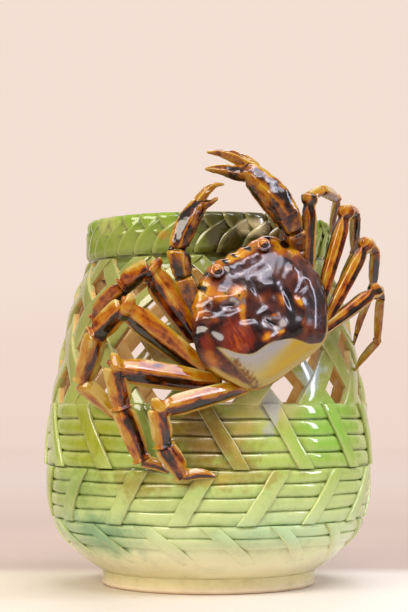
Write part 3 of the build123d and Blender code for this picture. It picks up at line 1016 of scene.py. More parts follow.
def mark_wall(piece, groove_heights):
    """Painted shade, with glaze pooling in it, in the grooves and beside the strips, and a painted
    highlight on the slats' upper edges.
    """
    co, _, bearing, outside = wall_places(piece)
    height = co[:, 2]
    below = np.min([np.abs(height - g - 0.2) for g in groove_heights], axis=0)
    beside = strip_gap(bearing, height)
    hollow = np.maximum(np.clip(1.15 - below / 0.75, 0, 1), 0.6 * np.clip(1 - beside / 2.2, 0, 1))
    hollow = hollow * np.interp(height, [24, 45, 75], [0.1, 0.35, 0.85])
    worn = np.min([np.abs(height - g + 1.1) for g in groove_heights], axis=0)
    mark(piece, hollow=hollow * outside, edge=0.55 * np.clip(1 - worn / 0.9, 0, 1) * outside)


def line_inside(piece):
    """Gives the faces of the wall's inside and of the pot's floor the inside glaze."""
    piece.data.materials.append(honey_glaze)
    for face in piece.data.polygons:
        centre, facing = face.center / mm, face.normal
        outward = Vector((centre.x, centre.y, 0))
        if centre.z <= foot_height:
            continue
        inward = outward.length and facing.dot(outward.normalized()) < -0.35
        on_floor = facing.z > 0.3 and centre.z < lower_top and outward.length < foot_radius
        if inward or on_floor:
            face.material_index = 1


def wall_ring(bearing, height, radius, half_width, half_depth):
    """One four-cornered ring of a strip that lies on the wall."""
    turn = radians(bearing)
    ring(
        on_pot(bearing, height, radius),
        Vector((cos(turn), sin(turn), 0)),
        Vector((0, 0, 1)),
        half_width * 2**0.5 * mm,
        half_depth * 2**0.5 * mm,
        strip_corners,
        pi / strip_corners,
    )


def finish_strip(softness):
    """Makes a strip of its rings, notes its two sides and softens its edges."""
    strip = bridge_rings()
    corners = np.arange(len(strip.data.vertices)) % strip_corners
    mark(strip, side=np.where(corners >= 2, 1, -1))
    bevel(strip, softness * mm, 2, 50)
    return strip


def finish_strips(strips, name, grain, depth):
    """Strips joined in one piece, with pale wear of the glaze and a painted highlight along their
    edges.
    """
    piece = join(strips, name)
    roughen(piece, grain, depth)
    side = np.zeros(len(piece.data.vertices), np.float32)
    piece.data.attributes["side"].data.foreach_get("value", side)
    mark(piece, edge=0.55 * np.clip((np.abs(side) - 0.82) / 0.18, 0, 1))
    smooth(piece, 50)
    return piece


# How far a strip's face stands out of the wall's outline, how far its back lies behind it, and the
# gap at each of its ends.
strip_face = strip_proud - 0.3
strip_back = 0.9
strip_end_gap = 0.15


def lay_strip(low, high, at_low, at_top, half_width, sway, fading):
    """One flat strip laid on the wall from a lower to an upper bearing."""
    put_tools_down()
    for share in np.linspace(0, 1, strip_rings):
        height = low + (high - low) * share
        bearing = at_low + (at_top - at_low) * share + sway * sin(pi * share)
        dive = fading * max(1 - share / 0.55, 0) ** 1.5
        radius = pot_radius(height) + (strip_face - strip_back) / 2 - dive
        narrow = 1 + 0.05 * sin(5 * share + bearing)
        wall_ring(bearing, height, radius, half_width * narrow, (strip_face + strip_back) / 2)
    return finish_strip(0.7)


def strip_zone(node, low, high, at_low, at_top, wobble, fading=0.0):
    """All the strips of one zone, each laid by hand with its own small error."""
    strips = []
    for i in range(strip_count):
        turn = strip_pitch * i
        foot = at_low + turn + chance.uniform(-wobble, wobble)
        head = at_top + turn + chance.uniform(-wobble, wobble)
        strip_runs.append((low, high, head, foot))
        width = strip_width / 2 * chance.uniform(0.92, 1.08)
        sway = chance.uniform(-0.5, 0.5)
        ends = low + strip_end_gap, high - strip_end_gap
        strips.append(lay_strip(*ends, foot, head, width, sway, fading))
    zone = finish_strips(strips, node + "_laid", 9, 0.35)
    set_in_place(zone, node, green_glaze)


bowl_strips_low = bowl_top - 1.65 * (bowl_top - slats_low)
strip_zone("bowl_strips", bowl_strips_low, bowl_top, 17.6, 0.5, 0.8, 1.5)
strip_zone("lower_strips", bowl_top, lower_top, -11.5, 0.5, 1.0)
strip_zone("upper_strips", lower_top, lattice_low, 11.0, -2.0, 1.0)


def slat_heights(low, slat, count):
    return [low + slat * i for i in range(count + 1)]


def steps_between(low, high, steps):
    return [low + (high - low) * i / steps for i in range(steps + 1)]


def make_wall(name, node, heights, profile, grain):
    piece = turned(name, profile)
    mark_wall(piece, heights)
    pillow(piece, heights)
    roughen(piece, grain, 0.4)
    smooth(piece, 60)
    set_in_place(piece, node, green_glaze)
    line_inside(piece)


def make_band(name, node, low, slat):
    heights = slat_heights(low, slat, 4)
    inside = [(pot_radius(h) - wall, h) for h in reversed(heights)]
    make_wall(name, node, heights, slats_outside(heights) + inside, 14)


def make_bowl():
    heights = slat_heights(slats_low, bowl_slat_height, 2)
    outside = [(pot_radius(h), h) for h in steps_between(foot_height, slats_low, 7)[:-1]]
    inside = [(pot_radius(h) - wall, h) for h in steps_between(bowl_top, floor_top, 7)]
    outside = [(0, foot_height)] + outside + slats_outside(heights)
    make_wall("bowl_wall", "bowl", heights, outside + inside + [(0, floor_top)], 18)


make_band("lower_slats", "lower_band", bowl_top, lower_slat_height)
make_band("upper_slats", "upper_band", lower_top, upper_slat_height)
make_bowl()


def make_foot():
    inner = foot_radius - foot_width
    profile = [
        (inner, 0.6),
        (inner + 0.6, 0),
        (foot_radius - 1.5, 0),
        (foot_radius - 0.3, 0.7),
        (foot_radius, 1.8),
        (foot_radius - 0.3, 4.6),
        (foot_radius - 0.1, 6.6),
        (pot_radius(foot_height), foot_height),
        (inner, foot_height),
    ]
    foot = turned("turned_foot", profile)
    worn = np.abs(places(foot)[:, 2] / mm - 1.6)
    mark(foot, edge=0.7 * np.clip(1 - worn / 1.2, 0, 1))
    smooth(foot, 60)
    set_in_place(foot, "foot_ring", bare_clay)


make_foot()

# The crossings of the lattice, from the band up: height, and how many half pitches round. Above its
# top the lattice leans in to the neck.
crossings = [(lattice_low - 1.5, -0.42), (108, 0), (128.5, 1), (148.5, 2), (163.5, 3), (177, 4)]
lattice_bearing = 5 + strip_pitch / 2
lattice_lean = 0.35
strut_half_angle = 4.75
strut_thickness = 3.9
strut_lift = 0.75


def lattice_strip(start, way):
    """One strut of the lattice that climbs to one side and passes over and under the others."""
    put_tools_down()
    stops = [
        (low + (high - low) * i / strut_rings, turn_low + (turn_high - turn_low) * i / strut_rings)
        for (low, turn_low), (high, turn_high) in zip(crossings, crossings[1:])
        for i in range(strut_rings)
    ]
    for height, turns in stops + crossings[-1:]:
        bearing = start + way * turns * strip_pitch / 2
        over = way * strut_lift * cos(pi * turns)
        radius = pot_radius(min(height, lattice_top))
        radius -= lattice_lean * max(height - lattice_top, 0)
        middle = radius - wall / 2 + 0.5 + over
        half_width = radians(strut_half_angle) * radius
        wall_ring(bearing, height, middle, half_width, strut_thickness / 2)
    return finish_strip(0.8)


def make_lattice():
    strips = []
    for i in range(strip_count):
        strips += [lattice_strip(lattice_bearing + strip_pitch * i, way) for way in (1, -1)]
    lattice = finish_strips(strips, "lattice_struts", 12, 0.5)
    set_in_place(lattice, "lattice_wall", green_glaze)
    lattice.data.materials.append(honey_glaze)
    for face in lattice.data.polygons:
        outward = Vector((face.center.x, face.center.y, 0))
        deep = pot_radius(face.center.z / mm) - outward.length / mm > 1.6
        if face.normal.dot(outward.normalized()) < 0.3 and deep:
            face.material_index = 1


make_lattice()


def make_neck():
    profile = [
        (pot_radius(lattice_top) - wall, lattice_top - 2),
        (pot_radius(lattice_top) - 1.3, lattice_top - 2),
        (pot_radius(lattice_top) - 1.6, lattice_top + 1),
        (core_radius - 1.6, lattice_top + 4),
        (core_radius - 0.6, rim_low),
        (mouth_radius, rim_low),
        (mouth_radius + 2.2, rim_low - 3),
    ]
    neck = turned("neck_band", profile)
    # The whole neck is darkened halfway towards the glaze's dark colour.
    mark(neck, hollow=0.5)
    smooth(neck, 60)
    set_in_place(neck, "neck_ring", rim_glaze)
    line_inside(neck)


def make_rim_core():
    profile = [
        (mouth_radius, rim_low),
        (core_radius - 0.4, rim_low),
        (core_radius + 0.4, rim_low + 1.2),
        (core_radius, rim_low + 5),
        (core_radius, rim_low + 12),
        (core_radius + 0.4, pot_height - 4),
        (core_radius - 0.2, pot_height - 2),
        (core_radius - 1.2, pot_height - 0.6),
        (core_radius - 2.8, pot_height),
        (mouth_radius + 2.4, pot_height),
        (mouth_radius + 0.8, pot_height - 0.7),
        (mouth_radius, pot_height - 2.4),
        (mouth_radius - 0.2, rim_low + 10),
    ]
    rim = turned("rim_roll", profile)
    co, radius, _, _ = wall_places(rim)
    # Painted shade on the core behind the leaves; the top of the lip is marked paler.
    behind_leaves = (radius > core_radius - 0.5) & (co[:, 2] < pot_height - 3)
    on_top = (co[:, 2] > pot_height - 1) & (radius > core_radius - 3.5)
    mark(rim, hollow=0.9 * behind_leaves, edge=0.4 * on_top)
    roughen(rim, 16, 0.4)
    smooth(rim, 60)
    set_in_place(rim, "rim_core", rim_glaze)
    line_inside(rim)


make_neck()
make_rim_core()


def plait_leaf(name, foot, tip, lean, width, proud, radius):
    """One leaf of the plait: a sheet drawn out to a point and leant over, its left side lifted over
    the leaf before it and its right side tucked under the next, then given its thickness."""
    put_tools_down()
    bpy.ops.mesh.primitive_grid_add(x_subdivisions=12, y_subdivisions=14, size=2)
    leaf = bpy.context.object
    leaf.name = name
    co = places(leaf)
    side, along = co[:, 0], (co[:, 1] + 1) / 2
    narrow = 1 - 0.8 * rising(along, 0.40, 0.60) ** 1.7
    across = lean * (0.35 * along + 0.65 * along**2) + side * width / 2 * narrow
    out = radius + proud - (side + 1) / 2 * (proud + 0.7) + 0.4 * (1 - side**2)
    out -= 0.8 * rising(-side, 0.72, 0.28) ** 2
    out -= 1.5 * rising(along, 0.68, 0.32) ** 2
    out -= 1.2 * np.clip((0.14 - along) / 0.14, 0, 1) ** 2
    height = foot + (tip - foot) * along
    angle = across / radius
    move_to(leaf, np.stack([np.sin(angle) * out, -np.cos(angle) * out, height], axis=1) * mm)
    # Painted highlight on the leaf's lifted left side, away from its tip, and painted shade where
    # its right side tucks under the next leaf and near its tip.
    lit = rising(-side, 0.62, 0.38) * np.clip((1 - along) * 5, 0, 1)
    shaded = np.maximum(rising(side, 0.35, 0.65), rising(along, 0.75, 0.25))
    mark(leaf, edge=0.55 * lit, hollow=0.9 * shaded)
    apply_modifier(leaf, "SOLIDIFY", thickness=1.8 * mm, offset=0)
    return leaf


def make_plait_row(which, foot, tip, lean, width, proud, radius, offset):
    """A row of leaves round the rim, copied from one, each with its own small turn and growth."""
    leaves, name = [], f"plait_{which}_leaves"
    pattern = plait_leaf(name, foot, tip, lean, width, proud, radius)
    for i in range(leaf_count):
        take_up(pattern)
        bpy.ops.object.duplicate()
        leaf = bpy.context.object
        turn = radians(offset + 360 / leaf_count * i + chance.uniform(-0.5, 0.5))
        grow = chance.uniform(0.96, 1.04)
        co = places(leaf)
        x = co[:, 0] * cos(turn) - co[:, 1] * sin(turn)
        y = co[:, 0] * sin(turn) + co[:, 1] * cos(turn)
        move_to(leaf, np.stack([x, y, (co[:, 2] - foot * mm) * grow + foot * mm], axis=1))
        leaves.append(leaf)
    bpy.data.objects.remove(pattern)
    row = join(leaves, name)
    take_up(row)
    go("EDIT")
    pick()
    bpy.ops.mesh.normals_make_consistent(inside=False)
    go("OBJECT")
    smooth(row, 80)
    set_in_place(row, f"rim_{which}_leaves", rim_glaze)


make_plait_row("lower", rim_low + 0.3, rim_low + 18.0, 12.0, 13.6, 2.2, core_radius - 0.6, 0)
make_plait_row("upper", pot_height - 0.9, rim_low + 8.0, 9.0, 12.0, 1.9, core_radius - 0.8, -7.7)


def smooth_outline(count):
    """The carapace's outline as a closed smooth curve, in shares of its width."""
    points = np.array(carapace_outline_shares)
    total = len(points)
    outline = []
    for i in range(count):
        at = i / count * total
        k = int(at)
        t = at - k
        p0, p1, p2, p3 = (points[(k + j - 1) % total] for j in range(4))
        bend = (2 * p0 - 5 * p1 + 4 * p2 - p3) * t * t + (3 * p1 - p0 - 3 * p2 + p3) * t**3
        outline.append(0.5 * (2 * p1 + (p2 - p0) * t + bend))
    return np.array(outline)


# The carapace's relief: across, forward, height in millimetres, half length, half width and turn.
# Lengths are shares of its width.
shell_bumps = [
    (-0.088, 0.165, 1.3, 0.07, 0.06, 0), (0.115, 0.12, 1.2, 0.08, 0.06, 0),
    (0.01, 0.14, -0.9, 0.03, 0.09, 0), (-0.202, 0.118, -1.4, 0.05, 0.034, -20),
    (-0.2, 0.17, 1.0, 0.09, 0.03, -25), (-0.245, 0.04, 1.0, 0.08, 0.035, -10),
    (-0.298, 0.205, 1.3, 0.04, 0.045, 0), (-0.375, 0.095, 1.2, 0.035, 0.055, 20),
    (-0.42, 0.0, 0.35, 0.03, 0.05, 20), (0.32, 0.15, 0.9, 0.05, 0.08, -20),
    (0.29, 0.02, -1.0, 0.08, 0.03, 25), (-0.01, -0.092, -1.3, 0.055, 0.026, -62),
    (-0.105, -0.1, 0.9, 0.04, 0.085, 15), (0.065, -0.13, 1.0, 0.04, 0.07, 15),
    (-0.05, -0.03, 0.9, 0.07, 0.03, 10), (-0.04, -0.205, 1.0, 0.08, 0.03, 10),
    (0.13, 0.01, 0.5, 0.04, 0.06, 0), (0.185, -0.03, -0.8, 0.03, 0.08, 0),
    (0.25, -0.045, 0.6, 0.035, 0.055, 0), (-0.22, -0.11, 0.8, 0.08, 0.07, 0),
    (-0.15, -0.01, -1.0, 0.09, 0.03, -30), (0.18, -0.2, 0.7, 0.09, 0.05, 10),
    (0.055, 0.29, -0.8, 0.14, 0.04, 5), (0.06, 0.375, 0.9, 0.06, 0.035, 0),
    (-0.05, 0.37, 0.8, 0.045, 0.035, 0), (0.15, 0.38, 0.8, 0.045, 0.035, 0),
    (-0.163, 0.34, -0.9, 0.065, 0.06, 0), (0.215, 0.375, -0.9, 0.065, 0.06, 0),
    (0.0, -0.345, -0.9, 0.3, 0.05, 0),
]

# Small uneven spots besides: the spans in which each one's place, half sizes, turn and height lie.
small_dents = 40
dent_spans = [(-0.46, 0.46), (-0.16, 0.42), (0.05, 0.10), (0.03, 0.06), (0, 180), (-0.25, 0.25)]

# Patches of glaze on the back, and of painted highlight and reflection, as across, forward, half
# length, half width, turn and strength.
amber_patches = [
    (-0.13, 0.18, 0.055, 0.05, 0, 1.1), (-0.26, 0.27, 0.07, 0.06, -30, 0.9),
    (-0.23, 0.18, 0.04, 0.04, 0, 0.9), (-0.33, 0.28, 0.06, 0.05, 40, 0.8),
    (-0.39, 0.17, 0.05, 0.08, 10, 0.5), (-0.4, 0.07, 0.04, 0.06, 0, 0.25),
    (-0.34, 0.07, 0.035, 0.035, 0, 0.5), (-0.17, 0.0, 0.024, 0.09, -10, 0.9),
    (-0.13, 0.08, 0.02, 0.05, -20, 1.0), (0.03, 0.4, 0.12, 0.045, 0, 0.8),
    (0.31, 0.33, 0.07, 0.06, -40, 1.0), (0.4, 0.27, 0.05, 0.07, -40, 0.8),
    (0.33, 0.1, 0.04, 0.05, 0, 0.4), (0.03, -0.07, 0.03, 0.02, 0, 0.9),
    (0.245, -0.05, 0.028, 0.055, 10, 1.2), (0.138, 0.005, 0.035, 0.05, 10, 0.75),
    (-0.078, -0.172, 0.045, 0.022, 20, 1.2), (0.028, -0.182, 0.035, 0.02, 20, 1.1),
    (0.01, 0.07, 0.055, 0.05, 0, 0.55), (0.2, -0.185, 0.09, 0.012, 43, 0.3),
    (-0.47, -0.15, 0.03, 0.09, 10, 0.4), (-0.43, -0.02, 0.03, 0.06, 0, 0.5),
    (0.23, -0.21, 0.06, 0.06, 0, 0.35),
]
ochre_patches = [(0.15, -0.29, 0.08, 0.035, 25, 0.8), (0.24, -0.33, 0.06, 0.03, 30, 0.6)]
slot_patches = [
    (-0.01, -0.09, 0.034, 0.012, -62, 1.5), (-0.2, 0.12, 0.02, 0.012, -10, 1.3),
    (-0.335, 0.18, 0.009, 0.015, 0, 1.1),
]
# Milky glaze; of these, the thin band at forward 0.2 is a painted reflection, and the two long thin
# strips at across 0.36 and 0.455 are painted highlights along the right margin.
milky_patches = [
    (-0.03, 0.285, 0.06, 0.04, 5, 1.0), (0.06, 0.25, 0.07, 0.035, 20, 0.9),
    (0.12, 0.32, 0.08, 0.045, -20, 0.8), (-0.09, 0.33, 0.04, 0.05, 0, 0.6),
    (0.09, 0.2, 0.08, 0.018, 0, 0.9), (0.17, 0.24, 0.015, 0.05, 0, 0.8),
    (0.07, -0.142, 0.022, 0.04, 10, 0.35), (-0.11, 0.105, 0.014, 0.06, -10, 0.9),
    (0.36, 0.05, 0.015, 0.11, -5, 0.9), (0.455, -0.02, 0.01, 0.15, -5, 0.8),
    (0.33, -0.19, 0.07, 0.11, 10, 0.55), (0.085, 0.06, 0.02, 0.06, 0, 0.7),
]
red_patches = [
    (-0.25, -0.07, 0.11, 0.12, -10, 1.1), (-0.3, -0.17, 0.09, 0.05, 0, 0.8),
    (-0.45, -0.05, 0.04, 0.07, 0, 0.9), (0.02, 0.0, 0.05, 0.06, 0, 0.5),
    (0.36, 0.23, 0.06, 0.08, -20, 0.7),
]
dark_patches = [
    (-0.3, 0.3, 0.022, 0.04, 30, 0.7), (-0.225, 0.39, 0.016, 0.035, 20, 0.8),
    (-0.07, 0.405, 0.018, 0.04, -10, 0.85), (0.005, 0.415, 0.013, 0.036, 0, 0.7),
    (0.12, 0.43, 0.022, 0.034, 10, 0.85), (0.29, 0.445, 0.022, 0.034, -20, 0.8),
    (0.37, 0.35, 0.035, 0.04, -40, 1.0), (0.29, 0.24, 0.08, 0.035, -30, 1.0),
    (0.17, -0.04, 0.035, 0.14, -15, 1.1), (0.13, -0.2, 0.07, 0.05, 0, 1.0),
    (-0.38, 0.095, 0.036, 0.045, 0, 0.65), (0.0, -0.232, 0.1, 0.016, 0, 1.0),
    (-0.115, -0.08, 0.016, 0.09, 10, 0.9),
]
# Painted reflection: a white spot on the left rear margin.
white_patches = [(-0.378, -0.020, 0.020, 0.044, 30, 0.9), (-0.362, -0.050, 0.024, 0.024, 0, 0.7)]
# Rings of glaze round a dent or a bump, and rings of painted highlight: as above, with how broad
# the ring is.
milky_rings = [
    (-0.205, 0.118, 0.05, 0.036, -20, 1.15, 0.55), (-0.335, 0.18, 0.022, 0.032, 0, 1.3, 0.36),
    (0.01, -0.108, 0.056, 0.036, -30, 1.5, 0.6),
]
# Painted highlight: thin straw rings round the bump at the front left.
straw_rings = [
    (-0.13, 0.18, 0.062, 0.06, 0, 0.62, 0.11), (-0.115, 0.165, 0.052, 0.056, 0, 0.5, 0.1),
]
# The line between the brown glaze and the straw behind it: across, and forward.
straw_edge = [
    (-0.437, -0.06),
    (-0.36, -0.13),
    (-0.314, -0.185),
    (-0.215, -0.237),
    (-0.109, -0.217),
    (-0.014, -0.218),
    (0.092, -0.250),
    (0.15, -0.300),
    (0.20, -0.330),
    (0.30, -0.350),
    (0.40, -0.33),
]


def oval_ways(across, forward, oval):
    """Each place as seen from an oval: how far along and across it, in its half sizes."""
    x, y, half_length, half_width, turn = oval
    c, s = cos(radians(turn)), sin(radians(turn))
    u = ((across - x) * c + (forward - y) * s) / half_length
    return u, (-(across - x) * s + (forward - y) * c) / half_width


def patchwork(across, forward, patches):
    """How strongly a set of soft oval patches covers each place."""
    total = np.zeros(across.shape)
    for *oval, strength in patches:
        u, v = oval_ways(across, forward, oval)
        total += strength * np.exp(-(u * u + v * v))
    return total


def ringwork(across, forward, rings):
    """How strongly a set of soft oval rings covers each place."""
    total = np.zeros(across.shape)
    for *oval, strength, breadth in rings:
        u, v = oval_ways(across, forward, oval)
        round_it = np.arctan2(v, u)
        uneven = 0.8 + 0.25 * np.cos(2 * round_it + 40 * oval[0]) + 0.15 * np.cos(5 * round_it)
        total += strength * uneven * np.exp(-(((np.hypot(u, v) - 1) / breadth) ** 2))
    return total


# The dome's height over its margin against the share of the way from its centre to the margin.
dome_curve = [
    (0.0, 0.137), (0.3, 0.133), (0.55, 0.119), (0.75, 0.096), (0.9, 0.058), (0.97, 0.028),
    (1.0, 0.0),
]


def dome_height(share):
    fine = np.linspace(0, 1, 400)
    rough = np.interp(fine, *zip(*dome_curve))
    soft = np.convolve(np.pad(rough, 12, mode="edge"), np.ones(25) / 25, mode="valid")
    inner = np.clip((1 - fine) / 0.02, 0, 1)
    return np.interp(share, fine, soft * inner + rough * (1 - inner))


def shell_places():
    """The back's points ring by ring from under its margin to its top, with their relief and how
    far out each lies. All are shares of the carapace's width."""
    outline = smooth_outline(shell_around)
    turn = np.arctan2(outline[:, 0], outline[:, 1])
    frontal = np.exp(-((turn / 0.62) ** 2))
    sides = np.exp(-(((np.abs(turn) - 1.15) / 0.42) ** 2))
    arc = np.cumsum(np.linalg.norm(np.roll(outline, -1, axis=0) - outline, axis=1)) * 2 * pi
    scallop = 0.006 * frontal * np.cos(arc / 0.095) + 0.007 * sides * np.cos(arc / 0.105)
    outline = outline * (1 + scallop / np.linalg.norm(outline, axis=1))[:, None]
    levels = [(0.93, -0.034), (0.955, -0.026), (0.985, -0.012)]
    for i in range(shell_rows):
        share = 1.0 - (i / shell_rows) ** 1.35
        levels.append((share, dome_height(share)))
    rings = [np.insert(outline * share, 2, out, axis=1) for share, out in levels]
    local = np.concatenate(rings + [np.array([[0, 0, dome_height(0.0)]])])
    local[:, 1] += np.clip(local[:, 2], 0, 1) * -0.06
    row_share = np.append(np.repeat([share for share, _ in levels], shell_around), 0.0)
    fade = np.clip((1.0 - row_share) / 0.06, 0, 1) * (local[:, 2] > 0)
    x, y = local[:, 0], local[:, 1]
    relief = np.zeros(len(local))
    for across, forward, height, *oval in shell_bumps:
        relief += 1.1 * height * patchwork(x, y, [(across, forward, *oval, 1.0)])
    for _ in range(small_dents):
        relief += patchwork(x, y, [[chance.uniform(*span) for span in dent_spans]])
    local[:, 2] += relief * fade / carapace_width
    lip = np.exp(-(((row_share - 0.965) / 0.02) ** 2)) * (local[:, 2] > 0)
    local[:, 2] += 0.008 * lip * rising(y, -0.1, 0.3)
    return local, relief, row_share


def mark_shell(shell, x, y, relief, row_share):
    """The masks of the carapace's glazes, and of its painted highlights and reflections."""
    margin = rising(row_share, 0.92 - 0.08 * rising(y, -0.05, 0.35), 0.07)
    amber = patchwork(x, y, amber_patches)
    left_less = 0.8 - 0.35 * np.clip((-0.28 - x) / 0.08, 0, 1)
    amber += left_less * margin * rising(y, -0.06, 0.2) * (1 - 0.7 * rising(x, 0.38, 0.08))
    amber += 0.2 * np.clip(relief / 1.2, 0, 1)
    edge_x, edge_y = zip(*straw_edge)
    steps = np.linspace(-0.035, 0.035, 15)
    wave = np.mean([np.interp(x + step, edge_x, edge_y) for step in steps], axis=0)
    turned_brown = np.clip(((x - 0.10) * 0.435 - (y + 0.26) * 0.90) / 0.09 + 0.6, 0, 1)
    rear_left = -0.437 + 0.40 * (-0.06 - y)
    straw = np.clip((wave - y) / 0.02, 0, 1) * np.clip((x - rear_left) / 0.05, 0, 1)
    amber += 0.36 * np.clip((rear_left + 0.02 - x) / 0.05, 0, 1) * np.clip((-0.02 - y) / 0.1, 0, 1)
    speckled = np.exp(-(((x - rear_left - 0.025) / 0.045) ** 2))
    # Painted reflections: a white spot on the left rear margin, and a grey-lilac sheen behind the
    # brown glaze's edge that fades out towards the straw.
    white_spot = np.clip(2.6 * patchwork(x, y, white_patches) - 0.9, 0, 1)
    milky_behind = straw * (1 - np.clip((wave - y) / 0.18, 0, 1)) * (1 - turned_brown)
    ochre = 0.75 * turned_brown * np.clip((0.96 - row_share) / 0.05, 0, 1)
    rear_rim = 0.8 * rising(row_share, 0.90, 0.07) * np.clip((-0.12 - y) / 0.1, 0, 1)
    dark = patchwork(x, y, dark_patches) + 0.35 * np.clip(-relief / 1.2, 0, 1)
    dark += 0.28 * margin * rising(y, -0.12, 0.2)
    mark(
        shell,
        amber=amber,
        margin=0.55 * np.clip(amber, 0, 1) * rising(y, -0.1, 0.1),
        speckle=speckled * np.clip((-0.15 - y) / 0.08, 0, 1),
        # Milky glaze, with a few painted highlights and a painted reflection among its patches.
        milky=patchwork(x, y, milky_patches) + ringwork(x, y, milky_rings),
        red=patchwork(x, y, red_patches),
        ochre=straw * (patchwork(x, y, ochre_patches) + ochre),
        slot=patchwork(x, y, slot_patches),
        # Painted reflections.
        pale=white_spot + milky_behind,
        straw=straw,
        # Straw rim glaze, with rings of painted highlight.
        rim=ringwork(x, y, straw_rings) + rear_rim,
        dark=dark * (1 - straw),
        across=x,
        forward=y,
    )


def make_carapace():
    """The domed back: rings drawn in from the margin, pressed to shape with their relief."""
    local, relief, row_share = shell_places()
    built = bmesh.new()
    placed = [built.verts.new(on_crab(*point)) for point in local]
    starts = range(0, len(placed) - 1, shell_around)
    rows = [placed[i : i + shell_around] for i in starts]
    for outer, inner in zip(rows, rows[1:]):
        for i in range(shell_around):
            built.faces.new([outer[i - 1], outer[i], inner[i], inner[i - 1]])
    for i in range(shell_around):
        built.faces.new([rows[-1][i - 1], rows[-1][i], placed[-1]])
    built.faces.new(list(reversed(rows[0])))
    bmesh.ops.recalc_face_normals(built, faces=built.faces)
    mesh = bpy.data.meshes.new("carapace_shell")
    built.to_mesh(mesh)
    built.free()
    shell = new_object("carapace_shell", mesh)
    mark_shell(shell, local[:, 0], local[:, 1], relief, row_share)
    smooth(shell, 180)
    set_in_place(shell, "carapace", shell_glaze)


make_carapace()


def make_underside(node, name):
    """The belly or the mouthparts under the margin: its solid is taken over, and softened."""
    put_tools_down()
    piece = new_object(name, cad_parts[node].data.copy())
    take_up(piece)
    go("EDIT")
    pick()
    bpy.ops.mesh.remove_doubles(threshold=0.002 * mm)
    go("OBJECT")
    out = (places(piece) - np.array(crab_centre)) @ np.array(crab_out) / (carapace_width * mm)
    # Paler the further a place stands out from the pot, darker the deeper it lies towards the pot.
    mark(piece, ridge=np.clip(0.2 + 0.8 * (out + 0.12), 0, 1))
    smooth(piece, 60)
    set_in_place(piece, node, claw_glaze)


make_underside("underside", "belly")
make_underside("mouthparts", "closed_mouthparts")


# An eye's sizes: the ring of its socket, how thick that is, and its ball.
socket_radius = 2.9 * mm
socket_thickness = 0.9 * mm
ball_radius = 2.4 * mm


def make_eye(name, shares):
    """An eye: a ball in a thick ring of a socket. The ball is painted amber on its upper side as
    lit and dark on its lower side as painted shade.
    """
    look = (crab_out + crab_forward * 0.25).normalized()
    base = on_crab(*shares) + look * 0.3 * mm
    turn = look.to_track_quat("Z", "Y").to_euler()
    put_tools_down()
    bpy.ops.mesh.primitive_torus_add(
        location=base,
        rotation=turn,
        major_radius=socket_radius,
        minor_radius=socket_thickness,
        major_segments=40,
        minor_segments=14,
    )
    socket = settled()
    ball = new_ball(base + look * 0.2 * mm, turn, ball_radius, 32, 20)
    forward = (places(socket) - np.array(base)) @ np.array(crab_forward)
    low_side = np.clip(-forward / (2.0 * mm), 0, 1)
    mark(socket, amber=0.9 - 0.9 * low_side, milky=0.9 * low_side, dark=0.15)
    side = (places(ball) - np.array(base)) @ np.array(crab_forward) / ball_radius
    # Painted light on the ball's upper side and painted shade on its lower side.
    lit, slit = np.clip(0.5 + 1.2 * side, 0, 1.2), np.clip(0.2 - 1.9 * side, 0, 1.2)
    mark(ball, amber=lit, milky=0.0, dark=slit)
    eye = join([socket, ball], name + "_in_socket")
    smooth(eye, 80)
    set_in_place(eye, name, shell_glaze)


for eye_name, eye_place in eye_shares.items():
    make_eye(eye_name, eye_place)

# A limb's back ridge lies this far towards its upper edge, and its flanks are this flat.
ridge_shift = 0.30
flank_press = 0.84


def limb_ways(points):
    """The way each joint faces, and the way the limb bends."""
    runs = [(end - start).normalized() for start, end in zip(points, points[1:])]
    bend = Vector((0, 0, 0))
    for before, after in zip(runs, runs[1:]):
        bend = bend + before.cross(after)
    facings = [(a + b).normalized() for a, b in zip(runs, runs[1:])]
    return [runs[0]] + facings + [runs[-1]], bend.normalized()


def limb_length(name, stations, bend, depth_share, crease):
    """A length of limb: eight-cornered rings bridged into a bar with a ridge down each side and one
    along its back, the flanks between them pressed flat."""
    put_tools_down()
    for centre, facing, width in stations:
        sideways, half_depth = bend.cross(facing), width * 0.70 * depth_share
        ring(centre, sideways, facing, width * 0.56, half_depth, limb_corners, pi / 2)
    piece = bridge_rings()
    piece.name = name
    sides = set()
    for number, vertex in enumerate(piece.data.vertices):
        centre, facing, width = stations[number // limb_corners]
        across = bend.cross(facing).normalized()
        upward = 1 if across.dot(crab_forward) > 0 else -1
        off = vertex.co - centre
        if abs(off.normalized().dot(across)) > 0.95:
            sides.add(number % limb_corners)
        elif abs(off.normalized().dot(bend)) > 0.95:
            vertex.co += across * upward * width * ridge_shift / 2
        else:
            vertex.co = centre + off * flank_press
    crease_ridges(piece, sides, crease)
    crease_ridges(piece, {(side + 2) % limb_corners for side in sides}, crease * 0.7)
    apply_modifier(piece, "SUBSURF", levels=2, render_levels=2)
    return piece


